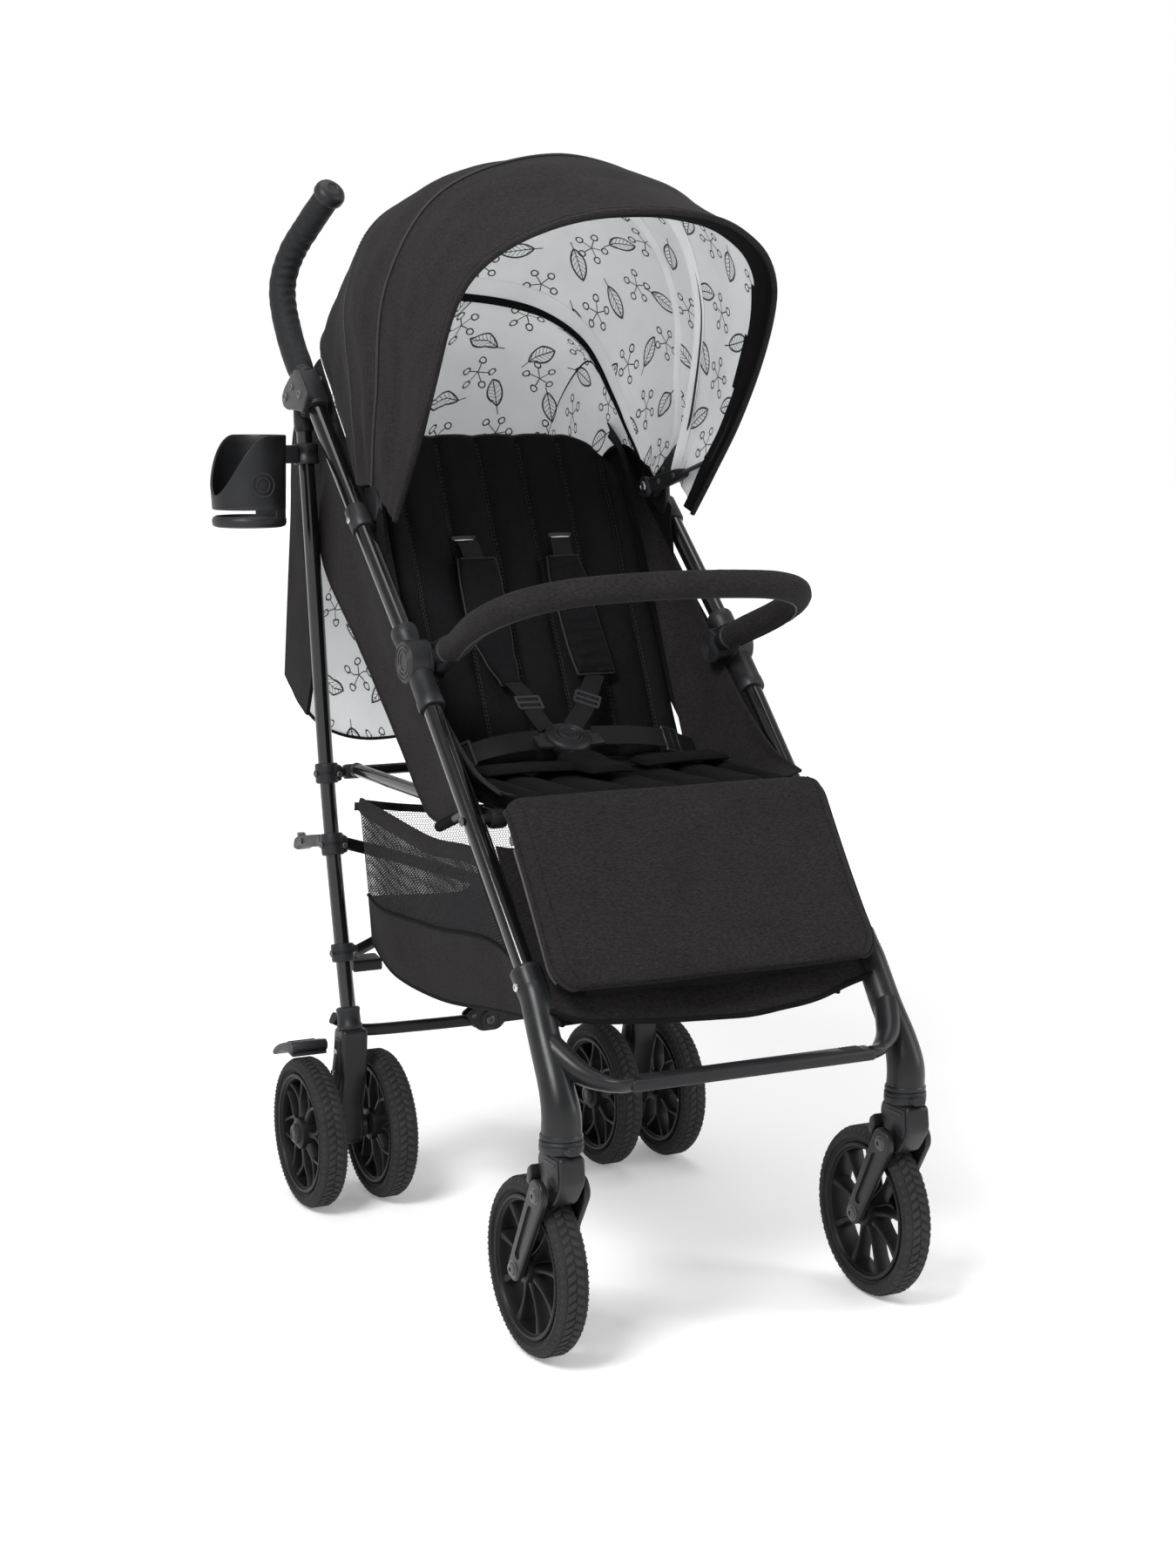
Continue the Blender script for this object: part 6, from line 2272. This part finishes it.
# binding along its free edges, with stitches
edge = [r[0] for r in rows] + [p for p in rows[-1][1:-1]] + [r[-1] for r in reversed(rows)]
bm = bmesh.new()
sweep(bm, evenly(edge, 260), 0.0022, 12, 0.8)
o = obj("rear_curtain_binding", bm, M_BLACK, "front_frame", "fabric_black")
crush(o)
for side, s in SIDES:
    bm = bmesh.new()
    sweep(bm, evenly([rows[j][NW if s < 0 else NX - NW] + Vector((s * 0.0006, 0.0014, 0)) for j in range(4, NR + 1)], 120), 0.0016, 10)
    crush(obj(f"curtain_corner_{side}", bm, M_CHAR, "front_frame", "fabric_charcoal"))


def on_curtain(v, a0, a1, n=70, lift=0.0):
    j = v * NR
    out = []
    for i in range(n + 1):
        a = mix(a0, a1, i / n)
        k = NW + (a + 1) / 2 * (NX - 2 * NW)
        j0, k0 = min(NR - 1, int(j)), min(NX - 1, int(k))
        tj, tk = j - j0, k - k0
        p = (rows[j0][k0] * (1 - tk) + rows[j0][k0 + 1] * tk) * (1 - tj) + (rows[j0 + 1][k0] * (1 - tk) + rows[j0 + 1][k0 + 1] * tk) * tj
        out.append(p + Vector((0, lift, 0)))
    return out


for n_, v in (("a", 0.10), ("b", 0.955)):
    o = stitches(f"curtain_stitches_{n_}", on_curtain(v, -0.94, 0.94, 120, 0.0013), body="front_frame", mat=M_STITCH)
    crush(o)
# roll-down panel seam across the back, and the recline strap with its loop
bm = bmesh.new()
sweep(bm, on_curtain(0.40, -0.985, 0.985, 90, 0.0014), 0.0016, 10, 0.9)
o = obj("curtain_seam", bm, M_BLACK, "front_frame", "fabric_black")
crush(o)
path = [(-0.142, 0.3140, 0.6820), (-0.100, 0.352, 0.640), (-0.050, 0.378, 0.628), (0, 0.3880, 0.624), (0.050, 0.378, 0.628), (0.100, 0.352, 0.640), (0.142, 0.3140, 0.6820)]
o = strap("recline_strap", [Vector(p) + Vector((0, 0.006, 0)) for p in path], 0.020, "front_frame", across=(0, 0.1, 1), slot="webbing_black", n=70)
crush(o)
o = strap("recline_loop", [(0, 0.3960, 0.628), (0.004, 0.4040, 0.600), (0.002, 0.4080, 0.575), (-0.003, 0.4060, 0.560), (-0.004, 0.4020, 0.575), (-0.002, 0.3980, 0.600)], 0.020, "front_frame", across=(1, 0, 0), slot="webbing_black", n=40)
crush(o)
bm = bmesh.new()
plate(bm, rounded([(-0.016, 0.640), (0.016, 0.640), (0.018, 0.610), (-0.018, 0.610)], 0.004, 5), 0.3955, 0.4015, 0.0012, axis="y", steps=3)
o = obj("recline_clamp", bm, M_PLASTIC, "front_frame", "plastic_black", angle=38)
crush(o)

# ------------------------------------------------------------------- basket
ST = [(0.0760, 0.451, 0.290, 0.160, 0.148), (0.0060, 0.448, 0.2680, 0.161, 0.150), (-0.120, 0.442, 0.2680, 0.162, 0.150), (-0.245, 0.446, 0.2850, 0.162, 0.150), (-0.330, 0.400, 0.2960, 0.162, 0.150), (-0.4050, 0.3280, 0.3060, 0.161, 0.150)]
NB = 60
stl = [[Vector((s_[0], s_[1], s_[2])) for s_ in ST], [Vector((s_[0], s_[3], s_[4])) for s_ in ST]]
ca, cb = catmull(stl[0], 24), catmull(stl[1], 24)


def basket_station(t):
    """(y, top z, bottom z, top half width, bottom half width) at t 0 rear to 1 front."""
    q = t * (len(ca) - 1)
    i = min(len(ca) - 2, int(q))
    a = ca[i].lerp(ca[i + 1], q - i)
    b = cb[i].lerp(cb[i + 1], q - i)
    return a.x, a.y, a.z, b.y, b.z


def basket_side(t, h, s):
    """Point on the basket's side wall s at height share h (1 at the rim)."""
    y, zt, zb, wt, wb = basket_station(t)
    sag = 0.0070 * sin(pi * t) * smooth(h)
    belly = 0.0022 * sin(pi * h) * (0.6 + 0.4 * sin(t * 7.0)) - 0.0012 * sin(t * 19 + h * 4)
    x = mix(wb, wt, h) + belly * smooth(h / 0.15) * smooth((1 - h) / 0.1)
    return Vector((s * min(x, 0.1632), y, mix(zb, zt - sag * 0.4, h)))


def wall(s, h0_, h1_, m, inset=0.0):
    return [[basket_side(i / NB, mix(h0_, h1_, j / m), s) - Vector((s * inset, 0, 0)) for j in range(m + 1)] for i in range(NB + 1)]


def split(t):
    """Height share where the mesh gives way to the solid cloth."""
    return mix(0.34, 0.47, smooth(t / 0.5)) + 0.01 * sin(t * 9)


for side, s in SIDES:
    # mesh above, dark cloth below
    for nm, lo, hi, mat, m in (("mesh", None, 0.935, M_MESH, 16), ("cloth", 0.0, None, M_CHAR, 14)):
        rws = []
        for i in range(NB + 1):
            t = i / NB
            a, b = (split(t), hi) if lo is None else (lo, split(t))
            rws.append([basket_side(t, mix(a, b, j / m), s) for j in range(m + 1)])
        if s < 0:
            rws = [r[::-1] for r in rws]
        bm = bmesh.new()
        sheet_grid(bm, rws, 0.0008 if nm == "mesh" else 0.0014)
        o = obj(f"basket_{nm}_{side}", bm, mat, "front_frame", "mesh_black" if nm == "mesh" else "fabric_black", ["basket"] if nm == "cloth" else (), recalc=False)
        crush(o)
    # trim strip along the rim, hem where the two cloths meet, and the bottom piping
    rws = [[basket_side(i / NB, h, s) + Vector((s * dx, 0, dz)) for h, dx, dz in ((0.905, 0.0004, 0), (0.925, 0.0014, 0), (0.95, 0.0019, 0), (0.985, 0.0016, 0), (1.0, 0.0004, 0.0010), (1.0, -0.0016, 0.0006), (0.95, -0.0022, 0), (0.915, -0.0022, 0))] for i in range(NB + 1)]
    if s < 0:
        rws = [r[::-1] for r in rws]
    bm = bmesh.new()
    sheet_grid(bm, rws, 0.0010)
    o = obj(f"basket_trim_{side}", bm, M_CHAR, "front_frame", "fabric_charcoal", recalc=False)
    crush(o)
    for nm, fn, r in (("hem", lambda t: basket_side(t, split(t), s) + Vector((s * 0.0006, 0, 0)), 0.0024), ("piping", lambda t: basket_side(t, 0.015, s), 0.0022)):
        bm = bmesh.new()
        sweep(bm, evenly([fn(i / NB) for i in range(NB + 1)], 110), r, 10, 0.8)
        o = obj(f"basket_{nm}_{side}", bm, M_BLACK, "front_frame", "fabric_black")
        crush(o)
    for nm, h in (("a", 0.918), ("b", 0.978)):
        o = stitches(f"basket_stitches_{nm}_{side}", [basket_side(i / 90, h, s) + Vector((s * 0.0021, 0, 0)) for i in range(91)], body="front_frame", mat=M_STITCH)
        crush(o)
# floor, back panel and front panel
NF = 26


def floor_pt(t, u):
    y, zt, zb, wt, wb = basket_station(t)
    sag = 0.0035 * sin(pi * t) * (1 - u * u)
    return Vector((wb * u, y, zb + 0.0014 - sag * 0.4 + 0.0010 * noise.noise(Vector((u * 3, t * 8, 1.0)))))


rws = [[floor_pt(i / NB, -1 + 2 * j / NF) for j in range(NF + 1)] for i in range(NB + 1)]
bm = bmesh.new()
sheet_grid(bm, rws, 0.0014)
o = obj("basket_floor", bm, M_BLACK, "front_frame", "fabric_black", recalc=False)
crush(o)
for nm, t, off in (("back", 0.0, 0.0012), ("front", 1.0, -0.0012)):
    y, zt, zb, wt, wb = basket_station(t)
    rws = []
    for j in range(19):
        h = j / 18
        hw = mix(wb, wt, h)
        rws.append([Vector((hw * (-1 + 2 * k / 32), y - off + (0.0022 * sin(pi * h) * sin(k * 0.5)) * smooth((1 - abs(-1 + 2 * k / 32)) / 0.2), mix(zb, zt - (0.016 if nm == "back" else 0.004) * (1 - (-1 + 2 * k / 32) ** 2), h))) for k in range(33)])
    cut_ = 6 if nm == "back" else 18
    bm = bmesh.new()
    sheet_grid(bm, rws[:cut_ + 1] if nm == "back" else rws, 0.0012)
    o = obj(f"basket_{nm}_low", bm, M_BLACK, "front_frame", "fabric_black", recalc=False)
    crush(o)
    if nm == "back":
        bm = bmesh.new()
        sheet_grid(bm, rws[cut_:18], 0.0008)
        o = obj("basket_back_mesh", bm, M_MESH_OPEN, "front_frame", "mesh_black", recalc=False)
        crush(o)
        bm = bmesh.new()
        sheet_grid(bm, [[p + Vector((0, 0.0006, 0)) for p in r] for r in rws[17:]], 0.0024)
        o = obj("basket_back_trim", bm, M_CHAR, "front_frame", "fabric_charcoal", recalc=False)
        crush(o)
# webbing hangers at the four corners
for side, s in SIDES:
    for nm, a, b, w_ in (("front", (s * 0.1640, -0.352, 0.384), (s * 0.1800, -0.358, 0.392), 0.014), ("rear", (s * 0.1590, 0.0700, 0.4400), (s * 0.1640, 0.0840, 0.4420), 0.009)):
        o = strap(f"basket_hanger_{nm}_{side}", [a, ((a[0] + b[0]) / 2, (a[1] + b[1]) / 2, (a[2] + b[2]) / 2 + 0.002), b], w_, "front_frame", across=(0, 0.5, 1), slot="webbing_black", n=12)
        crush(o)
for side, s in SIDES:
    a, b = Vector((s * 0.1640, -0.150, 0.4560)), Vector((s * 0.1750, -0.2440, 0.4850))
    n_ = 56
    bm = bmesh.new()
    for k in range(14):
        t0 = mix(0.0, 0.55, k / 13)
        c = a.lerp(b, t0)
        turned(bm, c, (b - a), [(0.0046, -0.0018), (0.0056, -0.0006), (0.0056, 0.0006), (0.0046, 0.0018)], 20)
    crush(obj(f"elastic_loop_{side}", bm, M_BLACK, "front_frame", "webbing_black"))
    bm = bmesh.new()
    sweep(bm, [a.lerp(b, 0.5), b], 0.0042, 24)
    crush(obj(f"elastic_end_{side}", bm, M_PLASTIC, "front_frame", "plastic_black"))
    bm = bmesh.new()
    bolt(bm, Vector((s * 0.1800, -0.2500, 0.4940)), (s, -0.5, -0.5), 0.0044, 0.0022)
    obj(f"elastic_bolt_{side}", bm, M_DARKSTEEL, "front_frame", "bright_steel")
bm = bmesh.new()
plate(bm, rounded([(-0.366, 0.372), (-0.346, 0.396), (-0.334, 0.386), (-0.354, 0.362)], 0.003, 5), -0.1712, -0.1640, 0.0014, steps=3)
plate(bm, rounded([(-0.366, 0.372), (-0.346, 0.396), (-0.334, 0.386), (-0.354, 0.362)], 0.003, 5), 0.1640, 0.1712, 0.0014, steps=3)
obj("basket_clips", bm, M_PLASTIC, "front_frame", "plastic_black", angle=38)

# sagging liner between the seat's front edge and the footrest
NU, NVV = 40, 22
rws = []
for j in range(NVV + 1):
    v = j / NVV
    row = []
    for k in range(NU + 1):
        a = -1 + 2 * k / NU
        yy = mix(-0.300, -0.432, v)
        top = mix(0.4600, 0.330, v ** 0.9)
        dip = mix(0.010, 0.026, v) * (1 - a * a) ** 0.7
        row.append(Vector((a * mix(0.168, 0.176, v), yy + 0.004 * sin(a * 5 + v * 3), top - dip - 0.003 * noise.noise(Vector((a * 3, v * 4, 7))))))
    rws.append(row)
bm = bmesh.new()
sheet_grid(bm, rws, 0.0016)
o = obj("under_liner", bm, M_CHAR, "front_frame", "fabric_black", recalc=False)
crush(o)
bm = bmesh.new()
sweep(bm, evenly([p + Vector((0, -0.001, 0)) for p in rws[-1]], 80), 0.0026, 12)
o = obj("under_liner_hem", bm, M_BLACK, "front_frame", "fabric_black")
crush(o)

# ------------------------------------------------------------------ sizes
lo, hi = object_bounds()
{"cad": [list(CAD_LO), list(CAD_HI)], "visual": [list(lo), list(hi)]}
